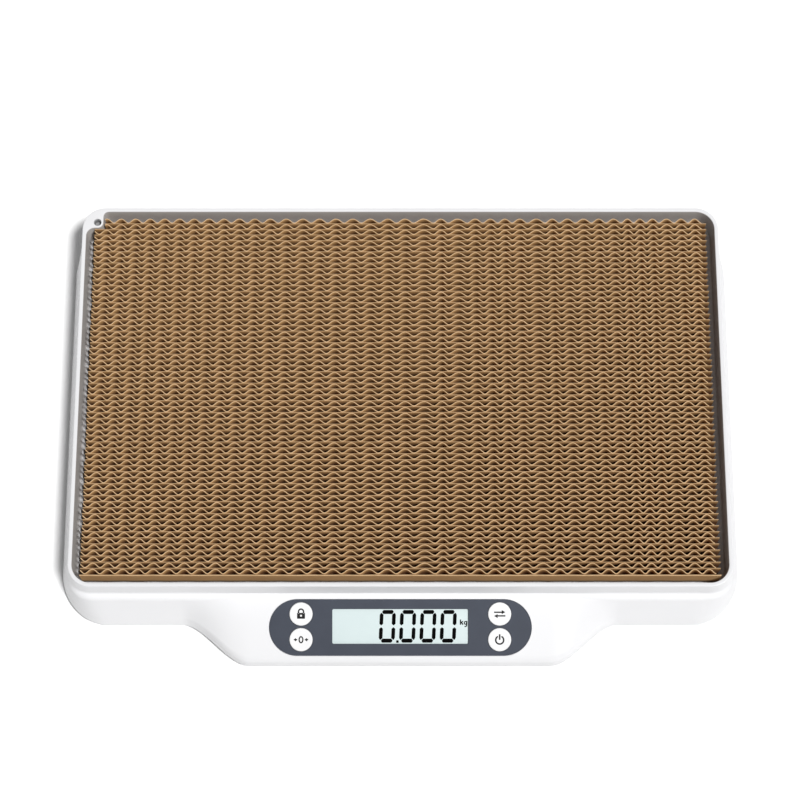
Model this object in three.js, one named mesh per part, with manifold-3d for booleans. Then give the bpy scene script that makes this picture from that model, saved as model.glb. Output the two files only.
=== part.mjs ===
// Flat platform scale for small animals: a white moulded casing whose shallow tray holds a
// corrugated cardboard scratch board, with a sloping display lobe at the front.
// Millimetres. +Z is up, the front faces -Y, Z = 0 is the surface the feet stand on, and the
// origin is the middle of the footprint.

import * as THREE from 'three';
import { mergeVertices } from 'three/addons/utils/BufferGeometryUtils.js';
import Module from 'manifold-3d';

const wasm = await Module();
wasm.setup();

// ---- driving dimensions -------------------------------------------------------------------

const GAP = 0.3;                 // clearance between separate pieces

const TRAY_HALF_X = 189.0;       // inner edge of the rim, half width
const TRAY_HALF_Y = 114.7;       // inner edge of the rim, half depth
const TRAY_CORNER_R = 11.0;
const TRAY_Y = 19.5;             // tray centre ahead of the footprint's centre
const RIM_Z = 38.0;              // top of the rim
const RIM_W = 2.4;
const FLOOR_Z = 21.0;            // tray floor, upper face
const FLOOR_T = 2.0;
const BASE_Z = 3.2;              // lower edge of the casing
const WALL_T = 2.2;

const SIDE_D = 9.7;              // how far the casing's foot stands out from the tray edge
const REAR_D = 3.0;
const APRON_D = 17.5;
const LOBE_D = 41.9;
const LOBE_X_IN = 87.0;          // the lobe is at full depth inside this half width
const LOBE_X_OUT = 127.5;        // and gone outside this one
const FLARE_Y_FRONT = 87.5;      // the side flare fades out between these two
const FLARE_Y_REAR = 99.5;
const FRONT_CORNER_RX = 28.5;
const FRONT_CORNER_RY = 32.0;

const PANEL_TILT = 17.0 * Math.PI / 180;
const LOBE_TOP_Z = 25.86;        // height of the lobe's plane at the tray edge
const LOBE_T = 3.0;
const PANEL_Y = -136.9;          // panel centre, from the tray centre
const PANEL_L = 151.4;
const PANEL_H = 32.5;
const PANEL_T = 0.8;
const LCD_W = 78.8;
const LCD_H = 20.2;
const LCD_V = 0.6;
const KEY_X = 57.4;
const KEY_DV = 7.4;
const KEY_V = 0.4;
const KEY_R = 6.7;
const KEY_PROUD = 0.6;

const SOCKET_X = -182.4;         // accessory socket in the rear left corner
const SOCKET_Y = 107.8;
const SOCKET_R = 2.15;
const SOCKET_BOSS_R = 3.4;
const SOCKET_DEPTH = 8.0;

const PAD_HALF_X = 184.5;
const PAD_Y_FRONT = -109.0;
const PAD_Y_REAR = 111.1;
const PAD_TOP_Z = 36.8;
const PAD_LINER_T = 0.5;

const FOOT_X = 158.0;
const FOOT_Y = 82.0;
const FOOT_R = 14.0;
const CELL_SIZE = 34.0;

const POST_X = 112.0;
const POST_Y = 98.0;
const POST_R = 3.6;

const BATTERY_X = 60.0;          // battery compartment centre, from the tray centre
const BATTERY_Y0 = 8.0;          // hinge-side edge of the battery opening
const BATTERY_OPEN_Y = 26.0;
const BATTERY_HALF_X = 25.8;
const AAA_R = 5.25;
const AAA_L = 43.5;
const AAA_NUB = 1.0;
const AAA_Z = 10.85;

// ---- solid helpers ------------------------------------------------------------------------

function signedVolume(geometry) {
  const p = geometry.attributes.position;
  const index = geometry.index;
  const a = new THREE.Vector3();
  const b = new THREE.Vector3();
  const c = new THREE.Vector3();
  let total = 0;
  for (let i = 0; i < index.count; i += 3) {
    a.fromBufferAttribute(p, index.getX(i));
    b.fromBufferAttribute(p, index.getX(i + 1));
    c.fromBufferAttribute(p, index.getX(i + 2));
    total += a.dot(b.cross(c)) / 6;
  }
  return total;
}

function flipFaces(geometry) {
  const index = geometry.index;
  for (let i = 0; i < index.count; i += 3) {
    const keep = index.getX(i + 1);
    index.setX(i + 1, index.getX(i + 2));
    index.setX(i + 2, keep);
  }
}

function toManifold(geometry) {
  const g = geometry.clone();
  g.deleteAttribute('normal');
  g.deleteAttribute('uv');
  const merged = mergeVertices(g, 1e-4);
  if (signedVolume(merged) < 0) {
    flipFaces(merged);
  }
  const mesh = new wasm.Mesh({
    numProp: 3,
    vertProperties: new Float32Array(merged.attributes.position.array),
    triVerts: new Uint32Array(merged.index.array),
  });
  return new wasm.Manifold(mesh);
}

function toGeometry(solid) {
  const mesh = solid.getMesh();
  const geometry = new THREE.BufferGeometry();
  const points = new Float32Array(mesh.vertProperties);
  geometry.setAttribute('position', new THREE.BufferAttribute(points, 3));
  geometry.setIndex(new THREE.BufferAttribute(new Uint32Array(mesh.triVerts), 1));
  return geometry;
}

function box(x0, x1, y0, y1, z0, z1) {
  const g = new THREE.BoxGeometry(x1 - x0, y1 - y0, z1 - z0);
  g.translate((x0 + x1) / 2, (y0 + y1) / 2, (z0 + z1) / 2);
  return toManifold(g);
}

// A solid of revolution about Z from a list of [radius, z], starting and ending on the axis.
function turned(profile, segments) {
  const points = profile.map(([r, z]) => new THREE.Vector2(r, z));
  const g = new THREE.LatheGeometry(points, segments);
  g.rotateX(Math.PI / 2);
  return toManifold(g);
}

function cylinder(x, y, r, z0, z1, segments = 20) {
  const solid = turned([[0, z0], [r, z0], [r, z1], [0, z1]], segments);
  return solid.translate([x, y, 0]);
}

function prism(points, z0, z1) {
  const shape = new THREE.Shape(points.map(([x, y]) => new THREE.Vector2(x, y)));
  const g = new THREE.ExtrudeGeometry(shape, { depth: z1 - z0, bevelEnabled: false });
  g.translate(0, 0, z0);
  return toManifold(g);
}

function arc(cx, cy, r, from, to, steps) {
  const points = [];
  for (let i = 0; i <= steps; i += 1) {
    const a = (from + (to - from) * i / steps) * Math.PI / 180;
    points.push([cx + r * Math.cos(a), cy + r * Math.sin(a)]);
  }
  return points;
}

function roundedRect(x0, x1, y0, y1, r, steps = 3) {
  return [
    ...arc(x1 - r, y1 - r, r, 0, 90, steps),
    ...arc(x0 + r, y1 - r, r, 90, 180, steps),
    ...arc(x0 + r, y0 + r, r, 180, 270, steps),
    ...arc(x1 - r, y0 + r, r, 270, 360, steps),
  ];
}

// Skin through a stack of closed rings with equal point counts, closed by a flat cap at each end.
function ringSolid(rings) {
  const n = rings[0].length;
  const points = [];
  const index = [];
  rings.forEach((ring) => ring.forEach((p) => points.push(...p)));
  for (let k = 0; k + 1 < rings.length; k += 1) {
    for (let i = 0; i < n; i += 1) {
      const j = (i + 1) % n;
      const a = k * n + i;
      const b = k * n + j;
      const c = a + n;
      const d = b + n;
      index.push(a, b, d, a, d, c);
    }
  }
  addCap(rings[0], 0, index, true);
  addCap(rings[rings.length - 1], (rings.length - 1) * n, index, false);
  const g = new THREE.BufferGeometry();
  g.setAttribute('position', new THREE.BufferAttribute(new Float32Array(points), 3));
  g.setIndex(index);
  return toManifold(g);
}

function addCap(ring, offset, index, flip) {
  const flat = ring.map(([x, y]) => new THREE.Vector2(x, y));
  const ccw = !THREE.ShapeUtils.isClockWise(flat);
  const faces = THREE.ShapeUtils.triangulateShape(flat, []);
  faces.forEach(([a, b, c]) => {
    const same = flip === ccw;
    index.push(offset + a, offset + (same ? c : b), offset + (same ? b : c));
  });
}

// A round-sectioned lead along a smooth path.
function lead(path, rx, ry, steps) {
  const points = path.map((p) => new THREE.Vector3(...p));
  const curve = new THREE.CatmullRomCurve3(points, false, 'centripetal');
  const shape = new THREE.Shape();
  for (let i = 0; i < 6; i += 1) {
    const a = i * Math.PI / 3;
    const x = rx * Math.cos(a);
    const y = ry * Math.sin(a);
    if (i === 0) {
      shape.moveTo(x, y);
    } else {
      shape.lineTo(x, y);
    }
  }
  shape.closePath();
  const g = new THREE.ExtrudeGeometry(shape, { steps, extrudePath: curve, bevelEnabled: false });
  return toManifold(g);
}

// Puts a solid built about the panel's own axes (x, v up the slope, w out of it) on the lobe.
function onPanel(solid) {
  const degrees = PANEL_TILT * 180 / Math.PI;
  const z = lobeHeight(-PANEL_Y - TRAY_HALF_Y);
  return solid.rotate([degrees, 0, 0]).translate([0, PANEL_Y, z]);
}

function lobeHeight(d) {
  return LOBE_TOP_Z - Math.tan(PANEL_TILT) * d;
}

function smooth(t) {
  const u = Math.min(1, Math.max(0, t));
  return u * u * (3 - 2 * u);
}

// ---- casing outline -----------------------------------------------------------------------

// How far the casing's foot stands out in front of the tray edge at x.
function frontReach(x) {
  const s = smooth((LOBE_X_OUT - Math.abs(x)) / (LOBE_X_OUT - LOBE_X_IN));
  return APRON_D + (LOBE_D - APRON_D) * s;
}

// Distance along (ux, uy) from (px, py) to the rounded front corner of the casing's foot.
function cornerReach(px, py, ux, uy) {
  const cx = TRAY_HALF_X + SIDE_D - FRONT_CORNER_RX;
  const cy = TRAY_HALF_Y + APRON_D - FRONT_CORNER_RY;
  const ax = (px - cx) / FRONT_CORNER_RX;
  const ay = (py - cy) / FRONT_CORNER_RY;
  const bx = ux / FRONT_CORNER_RX;
  const by = uy / FRONT_CORNER_RY;
  const a = bx * bx + by * by;
  const b = 2 * (ax * bx + ay * by);
  const c = ax * ax + ay * ay - 1;
  return (-b + Math.sqrt(b * b - 4 * a * c)) / (2 * a);
}

// Stations round the tray edge: where they start, which way is out, how far out the foot is,
// and how much of the section is apron ledge or display lobe.
function halfStations() {
  const list = [];
  const side = TRAY_HALF_Y - TRAY_CORNER_R;
  const front = TRAY_HALF_X - TRAY_CORNER_R;
  const add = (x, y, ux, uy, reach, apron, lobe) => {
    list.push({ x, y, ux, uy, reach, apron, lobe });
  };
  [0, 40, 74, LOBE_X_IN].forEach((x) => add(x, -TRAY_HALF_Y, 0, -1, LOBE_D, 0, 1));
  for (let i = 1; i <= 8; i += 1) {
    const x = LOBE_X_IN + (LOBE_X_OUT - LOBE_X_IN) * i / 8;
    const lobe = smooth(1 - i / 8);
    add(x, -TRAY_HALF_Y, 0, -1, frontReach(x), 1 - lobe, lobe);
  }
  add(150, -TRAY_HALF_Y, 0, -1, APRON_D, 1, 0);
  add(170.2, -TRAY_HALF_Y, 0, -1, APRON_D, 1, 0);
  for (let i = 0; i <= 8; i += 1) {
    const a = Math.PI / 2 * (1 - i / 8);
    const ux = Math.cos(a);
    const uy = Math.sin(a);
    const x = front + TRAY_CORNER_R * ux;
    const y = side + TRAY_CORNER_R * uy;
    const apron = smooth(1 - i / 8);
    add(x, -y, ux, -uy, cornerReach(x, y, ux, uy), apron, 0);
  }
  add(TRAY_HALF_X, -92, 1, 0, SIDE_D, 0, 0);
  add(TRAY_HALF_X, 0, 1, 0, SIDE_D, 0, 0);
  for (let i = 0; i <= 4; i += 1) {
    const y = FLARE_Y_FRONT + (FLARE_Y_REAR - FLARE_Y_FRONT) * i / 4;
    const reach = REAR_D + (SIDE_D - REAR_D) * smooth(1 - i / 4);
    add(TRAY_HALF_X, y, 1, 0, reach, 0, 0);
  }
  for (let i = 0; i <= 6; i += 1) {
    const a = Math.PI / 2 * i / 6;
    const ux = Math.cos(a);
    const uy = Math.sin(a);
    add(front + TRAY_CORNER_R * ux, side + TRAY_CORNER_R * uy, ux, uy, REAR_D, 0, 0);
  }
  add(60, TRAY_HALF_Y, 0, 1, REAR_D, 0, 0);
  return list;
}

function stations() {
  const right = halfStations();
  const left = right.filter((s) => s.x > 0).map((s) => ({ ...s, x: -s.x, ux: -s.ux }));
  return [...right, ...left.reverse()];
}

const STATIONS = stations();

function mixPoint(a, b, t) {
  return [a[0] + (b[0] - a[0]) * t, a[1] + (b[1] - a[1]) * t];
}

// Section of the casing's outer face as [distance out, height], rim first.
function outerSection(s) {
  const top = [RIM_W, RIM_Z - 0.6];
  const foot = [s.reach, BASE_Z + 0.8];
  const wall = [0.30, 0.42, 0.80, 0.93].map((t) => mixPoint(top, foot, t));
  const apron = [[3.2, 26.0], [7.1, 25.0], [s.reach - 2.2, 9.0], [s.reach - 0.6, 5.4]];
  const edge = Math.max(s.reach - 2.8, 8.2);
  const lobe = [
    [3.2, lobeHeight(3.2)],
    [3.8, lobeHeight(3.8)],
    [edge, lobeHeight(edge)],
    [s.reach - 0.5, lobeHeight(edge) - 2.3],
  ];
  const middle = wall.map((p, i) => [
    p[0] * (1 - s.apron - s.lobe) + apron[i][0] * s.apron + lobe[i][0] * s.lobe,
    p[1] * (1 - s.apron - s.lobe) + apron[i][1] * s.apron + lobe[i][1] * s.lobe,
  ]);
  return [
    [0, RIM_Z - 0.6], [0.6, RIM_Z], [RIM_W - 0.6, RIM_Z], top,
    ...middle, foot, [s.reach - 0.6, BASE_Z],
  ];
}

// Section of the casing's inner face, from its lower edge up to the tray floor's underside.
function innerSection(s) {
  const d = s.reach - WALL_T;
  const under = FLOOR_Z - FLOOR_T;
  const slope = (s.reach - RIM_W) / (RIM_Z - BASE_Z - 1.4);
  const highWall = Math.min(28, RIM_Z - 0.6 - (WALL_T + 2.6 - RIM_W) / Math.max(slope, 0.2));
  const room = smooth((s.reach - 4) / 5);
  const topZ = under - 0.6 + (highWall - under + 0.6) * room;
  const plainD = Math.max(d - slope * (topZ - BASE_Z), Math.min(d - 0.1, 2.3));
  const wall = [
    [d - 0.2 * slope, BASE_Z + 1.0],
    [plainD, topZ],
    [Math.min(plainD - 0.1, 2.1), topZ - 0.4 * room],
    [Math.min(plainD - 0.2, 2.0), Math.min(topZ - 0.5, under + 0.9)],
  ];
  const apron = [[d - 0.6, 5.4], [5.9, 22.6], [2.6, 22.9], [2.0, under + 0.9]];
  const drop = LOBE_T / Math.cos(PANEL_TILT);
  const edge = Math.max(d - 1.4, 6);
  const lobe = [
    [d, lobeHeight(edge) - drop - 1.0],
    [edge, lobeHeight(edge) - drop],
    [2.6, lobeHeight(2.6) - drop],
    [2.0, under + 0.9],
  ];
  const middle = wall.map((p, i) => [
    p[0] * (1 - s.apron - s.lobe) + apron[i][0] * s.apron + lobe[i][0] * s.lobe,
    p[1] * (1 - s.apron - s.lobe) + apron[i][1] * s.apron + lobe[i][1] * s.lobe,
  ]);
  return [[d, BASE_Z], ...middle, [Math.min(plainD - 0.9, 0.4), under]];
}

function ringsFrom(sections) {
  const count = sections[0].length;
  const rings = [];
  for (let k = 0; k < count; k += 1) {
    rings.push(STATIONS.map((s, i) => {
      const [d, z] = sections[i][k];
      return [s.x + s.ux * d, s.y + s.uy * d, z];
    }));
  }
  return rings;
}

// ---- casing -------------------------------------------------------------------------------

// Corner web round the accessory socket, filling the tray's rear left corner.
function socketWeb() {
  const right = SOCKET_X + SOCKET_BOSS_R;
  const front = SOCKET_Y - SOCKET_BOSS_R;
  const wallX = -TRAY_HALF_X - 1.2;
  const wallY = TRAY_HALF_Y + 1.2;
  const points = [
    ...arc(right + 3, TRAY_HALF_Y - 3, 3, 90, 180, 4),
    ...arc(SOCKET_X, SOCKET_Y, SOCKET_BOSS_R, 0, -90, 6),
    ...arc(-TRAY_HALF_X + 5, front - 5, 5, 90, 180, 4),
    [wallX, front - 5],
    [wallX, TRAY_HALF_Y - 7],
    [-TRAY_HALF_X + 7, wallY],
    [right + 3, wallY],
  ];
  return prism(points, FLOOR_Z - 0.5, RIM_Z);
}

function capsule(length, height, z0, z1, steps = 10) {
  const r = height / 2 - 0.01;
  return prism(roundedRect(-length / 2, length / 2, -height / 2, height / 2, r, steps), z0, z1);
}

function keyPlaces() {
  return [
    ['hold', -KEY_X, KEY_V + KEY_DV],
    ['tare', -KEY_X, KEY_V - KEY_DV],
    ['unit', KEY_X, KEY_V + KEY_DV],
    ['power', KEY_X, KEY_V - KEY_DV],
  ];
}

function postPlaces() {
  return [
    [-POST_X, POST_Y], [0, POST_Y], [POST_X, POST_Y],
    [-POST_X, -POST_Y], [0, -POST_Y], [POST_X, -POST_Y],
  ];
}

const BOARD_POST_X = 69.0;

function topShell() {
  const sections = STATIONS.map((s) => [
    [-1.6, FLOOR_Z], [-0.5, FLOOR_Z + 0.5], [-0.15, FLOOR_Z + 2.0],
    ...outerSection(s), ...innerSection(s),
  ]);
  let shell = ringSolid(ringsFrom(sections));
  shell = shell.add(socketWeb());
  postPlaces().forEach(([x, y]) => {
    shell = shell.add(cylinder(x, y, POST_R, BASE_Z + 3.6, FLOOR_Z - 1, 16));
  });
  [-BOARD_POST_X, BOARD_POST_X].forEach((x) => {
    shell = shell.add(onPanel(cylinder(x, 0, 2.4, -6.9, -2.5, 12)));
  });
  shell = shell.subtract(cylinder(SOCKET_X, SOCKET_Y, SOCKET_R, RIM_Z - SOCKET_DEPTH, RIM_Z + 1, 20));
  postPlaces().forEach(([x, y]) => {
    shell = shell.subtract(cylinder(x, y, 1.6, BASE_Z + 3, BASE_Z + 12, 10));
  });
  shell = shell.subtract(onPanel(capsule(PANEL_L + 2 * GAP, PANEL_H + 2 * GAP, -PANEL_T - GAP, 6)));
  shell = shell.subtract(onPanel(box(-41.5, 41.5, LCD_V - 12.3, LCD_V + 12.3, -6, 2)));
  keyPlaces().forEach(([, x, v]) => {
    shell = shell.subtract(onPanel(cylinder(x, v, KEY_R + 0.25, -6, 2, 28)));
  });
  [-BOARD_POST_X, BOARD_POST_X].forEach((x) => {
    shell = shell.subtract(onPanel(cylinder(x, 0, 1.25, -8, -3.4, 10)));
  });
  return shell;
}

function coverSection(s) {
  const d = s.reach - WALL_T - GAP;
  return [
    [d - 0.6, BASE_Z], [d, BASE_Z + 0.6], [d - 1.3, BASE_Z + 3.6],
    [d - 2.8, BASE_Z + 3.6], [d - 2.6, BASE_Z + 2.0],
  ];
}

function bottomCover() {
  let cover = ringSolid(ringsFrom(STATIONS.map(coverSection)));
  const x0 = BATTERY_X - BATTERY_HALF_X;
  const x1 = BATTERY_X + BATTERY_HALF_X;
  const y0 = BATTERY_Y0;
  const y1 = BATTERY_Y0 + BATTERY_OPEN_Y;
  cover = cover.add(box(x0 - 1.5, x1 + 1.5, y0 - 5, y1 + 1.5, BASE_Z + 1.5, 18.4));
  cover = cover.subtract(box(x0, x1, y0 - 3.5, y1, BASE_Z + 2, 16.9));
  cover = cover.subtract(box(x0, x1, y0, y1, BASE_Z - 1, BASE_Z + 3));
  cover = cover.subtract(box(x0 - 3, x0 + 1, y0 + 11, y0 + 14, 12, 16));
  footPlaces().forEach(([, x, y]) => {
    cover = cover.subtract(cylinder(x, y, FOOT_R + 2.5, BASE_Z - 1, BASE_Z + 3, 24));
    const ring = cylinder(x, y, FOOT_R + 4.5, BASE_Z + 1.5, BASE_Z + 3.6, 24);
    cover = cover.add(ring.subtract(cylinder(x, y, FOOT_R + 2.5, BASE_Z, BASE_Z + 5, 24)));
  });
  postPlaces().forEach(([x, y]) => {
    cover = cover.subtract(cylinder(x, y, 1.9, BASE_Z - 1, BASE_Z + 4, 12));
    cover = cover.subtract(cylinder(x, y, 3.6, BASE_Z - 1, BASE_Z + 1.2, 16));
  });
  return cover;
}

// ---- scratch board ------------------------------------------------------------------------

// Stack of corrugated strips; its rear left corner is notched round the socket.
function scratchCore() {
  const notchX = SOCKET_X + SOCKET_BOSS_R + 1.2;
  const notchY = SOCKET_Y - SOCKET_BOSS_R - 1.4;
  const points = [
    [-PAD_HALF_X, PAD_Y_FRONT], [PAD_HALF_X, PAD_Y_FRONT], [PAD_HALF_X, PAD_Y_REAR - 1.2],
    [PAD_HALF_X - 1.2, PAD_Y_REAR], [notchX, PAD_Y_REAR], [notchX, notchY], [-PAD_HALF_X, notchY],
  ];
  return prism(points, FLOOR_Z + GAP, PAD_TOP_Z);
}

function scratchLiner() {
  const y1 = PAD_Y_FRONT - GAP;
  return box(-PAD_HALF_X, PAD_HALF_X, y1 - PAD_LINER_T, y1, FLOOR_Z + GAP, PAD_TOP_Z);
}

// ---- display and keys ---------------------------------------------------------------------

function panelOverlay() {
  let sheet = capsule(PANEL_L, PANEL_H, -PANEL_T, 0);
  const window = roundedRect(-LCD_W / 2, LCD_W / 2, LCD_V - LCD_H / 2, LCD_V + LCD_H / 2, 0.9);
  sheet = sheet.subtract(prism(window, -2, 1));
  keyPlaces().forEach(([, x, v]) => {
    sheet = sheet.subtract(cylinder(x, v, KEY_R + GAP, -2, 1, 28));
  });
  return onPanel(sheet);
}

function lcdGlass() {
  return onPanel(box(-41, 41, LCD_V - 11.8, LCD_V + 11.8, -2.9, -1.1));
}

function lcdHolder() {
  const outer = box(-43, 43, LCD_V - 13.2, LCD_V + 12.6, -6.9, -3.3);
  return onPanel(outer.subtract(box(-40.6, 40.6, LCD_V - 11, LCD_V + 11, -8, -2)));
}

function lcdConnector() {
  return onPanel(box(-38, 38, LCD_V + 8.6, LCD_V + 10.6, -6.9, -3.2));
}

function lcdReflector() {
  return onPanel(box(-40, 40, LCD_V - 10.6, LCD_V + 8.2, -3.8, -3.2));
}

function keyCap(x, v) {
  const profile = [
    [0, -4.3], [7.3, -4.3], [7.3, -3.3], [KEY_R, -3.3],
    [KEY_R, KEY_PROUD - 0.4], [KEY_R - 0.4, KEY_PROUD], [0, KEY_PROUD],
  ];
  return onPanel(turned(profile, 28).translate([x, v, 0]));
}

function keySwitch(x, v) {
  const body = box(x - 3, x + 3, v - 3, v + 3, -6.9, -5.2);
  return onPanel(body.subtract(cylinder(x, v, 2.0, -6.6, -5, 16)));
}

function keyPlunger(x, v) {
  return onPanel(cylinder(x, v, 1.7, -5.9, -4.6, 16));
}

function mainBoard() {
  let board = prism(roundedRect(-72.5, 72.5, -13.2, 13.2, 2.5), -8.4, -7.2);
  [-BOARD_POST_X, BOARD_POST_X].forEach((x) => {
    board = board.subtract(cylinder(x, 0, 1.3, -9, -7, 10));
  });
  return onPanel(board);
}

function controllerChip() {
  return onPanel(box(-7, 7, -4, 3, -10.2, -8.7));
}

function screw(shankR, length, headR, headH) {
  return turned([
    [0, 0], [headR - 0.5, 0], [headR, 0.5], [headR, headH],
    [shankR, headH], [shankR, length - 0.8], [0, length],
  ], 12);
}

function boardScrew(x) {
  return onPanel(screw(1.0, 5.0, 2.2, 1.2).translate([x, 0, -9.9]));
}

// ---- feet and load cells ------------------------------------------------------------------

function footPlaces() {
  return [
    ['fl', -FOOT_X, -FOOT_Y],
    ['fr', FOOT_X, -FOOT_Y],
    ['rl', -FOOT_X, FOOT_Y],
    ['rr', FOOT_X, FOOT_Y],
  ];
}

function footPad(x, y) {
  const pad = turned([
    [0, 0], [FOOT_R - 1.2, 0], [FOOT_R, 1.0], [FOOT_R, 3.0], [0, 3.0],
  ], 28);
  return pad.translate([x, y, 0]);
}

function footCup(x, y) {
  const cup = turned([
    [0, 3.3], [FOOT_R + 1.5, 3.3], [FOOT_R + 1.5, 6.0], [FOOT_R, 6.4],
    [4.2, 6.4], [4.2, 8.2], [0, 8.2],
  ], 28);
  return cup.translate([x, y, 0]);
}

// Half-bridge cell: a steel plate with a C-shaped cut that frees its middle tongue.
function loadCell(x, y) {
  const h = CELL_SIZE / 2;
  let plate = prism(roundedRect(x - h, x + h, y - h, y + h, 3), 8.5, 10.0);
  plate = plate.subtract(box(x - 11, x - 8.5, y - 11, y + 11, 8, 11));
  plate = plate.subtract(box(x + 8.5, x + 11, y - 11, y + 11, 8, 11));
  return plate.subtract(box(x - 9, x + 9, y - 11, y - 8.5, 8, 11));
}

function cellBracket(x, y) {
  const outer = prism(roundedRect(x - 19, x + 19, y - 19, y + 19, 4), 10.3, FLOOR_Z - FLOOR_T - GAP);
  return outer.subtract(prism(roundedRect(x - 15, x + 15, y - 15, y + 15, 2), 9, 20));
}

function coverScrew(x, y) {
  return screw(1.3, 11.0, 3.2, 1.0).translate([x, y, BASE_Z - 0.1]);
}

// ---- batteries ----------------------------------------------------------------------------

const CELL_A_Y = BATTERY_Y0 + 7.6;
const CELL_B_Y = BATTERY_Y0 + 18.8;

function battery(y, sign) {
  const start = -24.7 + AAA_NUB + 3.9;
  const tube = turned([
    [0, start], [AAA_R - 0.4, start], [AAA_R, start + 0.5], [AAA_R, start + AAA_L - 0.5],
    [AAA_R - 0.5, start + AAA_L], [1.9, start + AAA_L], [1.9, start + AAA_L + AAA_NUB],
    [0, start + AAA_L + AAA_NUB],
  ], 20);
  return tube.rotate([0, 90 * sign, 0]).translate([BATTERY_X, y, AAA_Z]);
}

function contactPlate(side, y0, y1) {
  const inner = BATTERY_X + side * 25.0;
  const outer = BATTERY_X + side * 25.5;
  return box(Math.min(inner, outer), Math.max(inner, outer), y0, y1, BASE_Z + 3.6, 16.4);
}

// Conical coil pressing on a battery's flat end.
function contactSpring(y, side) {
  const path = [];
  const turns = 2.5;
  const steps = 26;
  for (let i = 0; i <= steps; i += 1) {
    const a = i / steps * Math.PI * 2 * turns;
    const r = 3.4 - 1.4 * i / steps;
    path.push([
      BATTERY_X + side * (24.35 - 3.6 * i / steps),
      y + r * Math.cos(a),
      AAA_Z + r * Math.sin(a),
    ]);
  }
  return lead(path, 0.35, 0.35, 26);
}

// Door swings on rounded tabs at its front edge; the tabs reach in over the cover.
function batteryDoor() {
  const x0 = BATTERY_X - BATTERY_HALF_X + GAP;
  const x1 = BATTERY_X + BATTERY_HALF_X - GAP;
  const axisY = BATTERY_Y0 + 1.2;
  const midZ = BASE_Z + 0.9;
  const profile = [
    ...arc(axisY, midZ, 0.9, 90, 270, 6),
    [BATTERY_Y0 + BATTERY_OPEN_Y - GAP, BASE_Z],
    [BATTERY_Y0 + BATTERY_OPEN_Y - GAP, BASE_Z + 1.8],
  ];
  let door = prism(profile, x0, x1).rotate([90, 0, 90]);
  [-16, 16].forEach((x) => {
    const tab = [
      [axisY, BASE_Z + 1.5], [axisY + 1.4, BASE_Z + 1.5], [axisY + 1.4, BASE_Z + 3.1],
      [BATTERY_Y0 - 2.2, BASE_Z + 3.1], [BATTERY_Y0 - 2.2, BASE_Z + 2.4], [axisY, BASE_Z + 2.4],
    ];
    door = door.add(prism(tab, BATTERY_X + x - 3, BATTERY_X + x + 3).rotate([90, 0, 90]));
  });
  const thumb = cylinder(BATTERY_X, BATTERY_Y0 + BATTERY_OPEN_Y - 2, 7, BASE_Z - 1, BASE_Z + 0.7, 24);
  return door.subtract(thumb);
}

// ---- leads --------------------------------------------------------------------------------

function cellLead(x, y) {
  const sx = Math.sign(x);
  const end = sx * (y > 0 ? 34 : 46);
  const start = [x - sx * 19.6, y, 8.0];
  const bends = y > 0
    ? [[sx * 128, 62, 8.0], [sx * 104, 0, 8.0], [sx * 66, -70, 8.0]]
    : [[sx * 126, -70, 8.0], [sx * 90, -84, 8.0], [sx * 56, -100, 8.0]];
  const path = [start, ...bends, [end, -113, 8.4], [end, -126, 10.4]];
  return lead(path, 1.1, 1.1, 14);
}

function batteryLead() {
  const path = [
    [BATTERY_X - 28.5, BATTERY_Y0 + 12.5, 14.2], [24, 12, 11.5], [18, -20, 8.2], [22, -70, 8.0],
    [22, -110, 8.6], [22, -126, 10.4],
  ];
  return lead(path, 1.4, 1.0, 16);
}

// ---- materials and assembly ---------------------------------------------------------------

const FINISH = {
  casing: [0xf1f1f2, 0.32, 0.0],
  slate: [0x545864, 0.38, 0.0],
  glass: [0xd9e6e4, 0.12, 0.0],
  keys: [0xf6f6f6, 0.35, 0.0],
  black: [0x17181a, 0.6, 0.0],
  board: [0x1d5b35, 0.5, 0.0],
  steel: [0xb4b7ba, 0.35, 0.9],
  foot: [0xd8d8d6, 0.8, 0.0],
  kraft: [0xb48a5a, 0.9, 0.0],
  wrap: [0x2f6f4f, 0.4, 0.1],
  wire: [0x9a2620, 0.55, 0.0],
};

const group = new THREE.Group();
group.name = 'pet_scale';

function put(name, solid, finish) {
  const [color, roughness, metalness] = FINISH[finish];
  const geometry = toGeometry(solid.translate([0, TRAY_Y, 0]));
  const material = new THREE.MeshStandardMaterial({ color, roughness, metalness });
  material.name = `${name}_material`;
  const mesh = new THREE.Mesh(geometry, material);
  mesh.name = name;
  group.add(mesh);
}

put('top_shell', topShell(), 'casing');
put('bottom_cover', bottomCover(), 'casing');
put('scratch_core', scratchCore(), 'kraft');
put('scratch_liner', scratchLiner(), 'kraft');
put('panel_overlay', panelOverlay(), 'slate');
put('lcd_glass', lcdGlass(), 'glass');
put('lcd_holder', lcdHolder(), 'casing');
put('lcd_connector', lcdConnector(), 'black');
put('lcd_reflector', lcdReflector(), 'glass');
keyPlaces().forEach(([name, x, v]) => {
  put(`button_${name}`, keyCap(x, v), 'keys');
  put(`switch_${name}`, keySwitch(x, v), 'steel');
  put(`plunger_${name}`, keyPlunger(x, v), 'black');
});
put('main_board', mainBoard(), 'board');
put('controller_chip', controllerChip(), 'black');
[-BOARD_POST_X, BOARD_POST_X].forEach((x, i) => put(`board_screw_${i + 1}`, boardScrew(x), 'steel'));
footPlaces().forEach(([name, x, y]) => {
  put(`foot_pad_${name}`, footPad(x, y), 'foot');
  put(`foot_cup_${name}`, footCup(x, y), 'casing');
  put(`load_cell_${name}`, loadCell(x, y), 'steel');
  put(`cell_bracket_${name}`, cellBracket(x, y), 'black');
  put(`cell_lead_${name}`, cellLead(x, y), 'wire');
});
postPlaces().forEach(([x, y], i) => put(`cover_screw_${i + 1}`, coverScrew(x, y), 'steel'));
put('battery_door', batteryDoor(), 'casing');
put('battery_1', battery(CELL_A_Y, 1), 'wrap');
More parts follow.
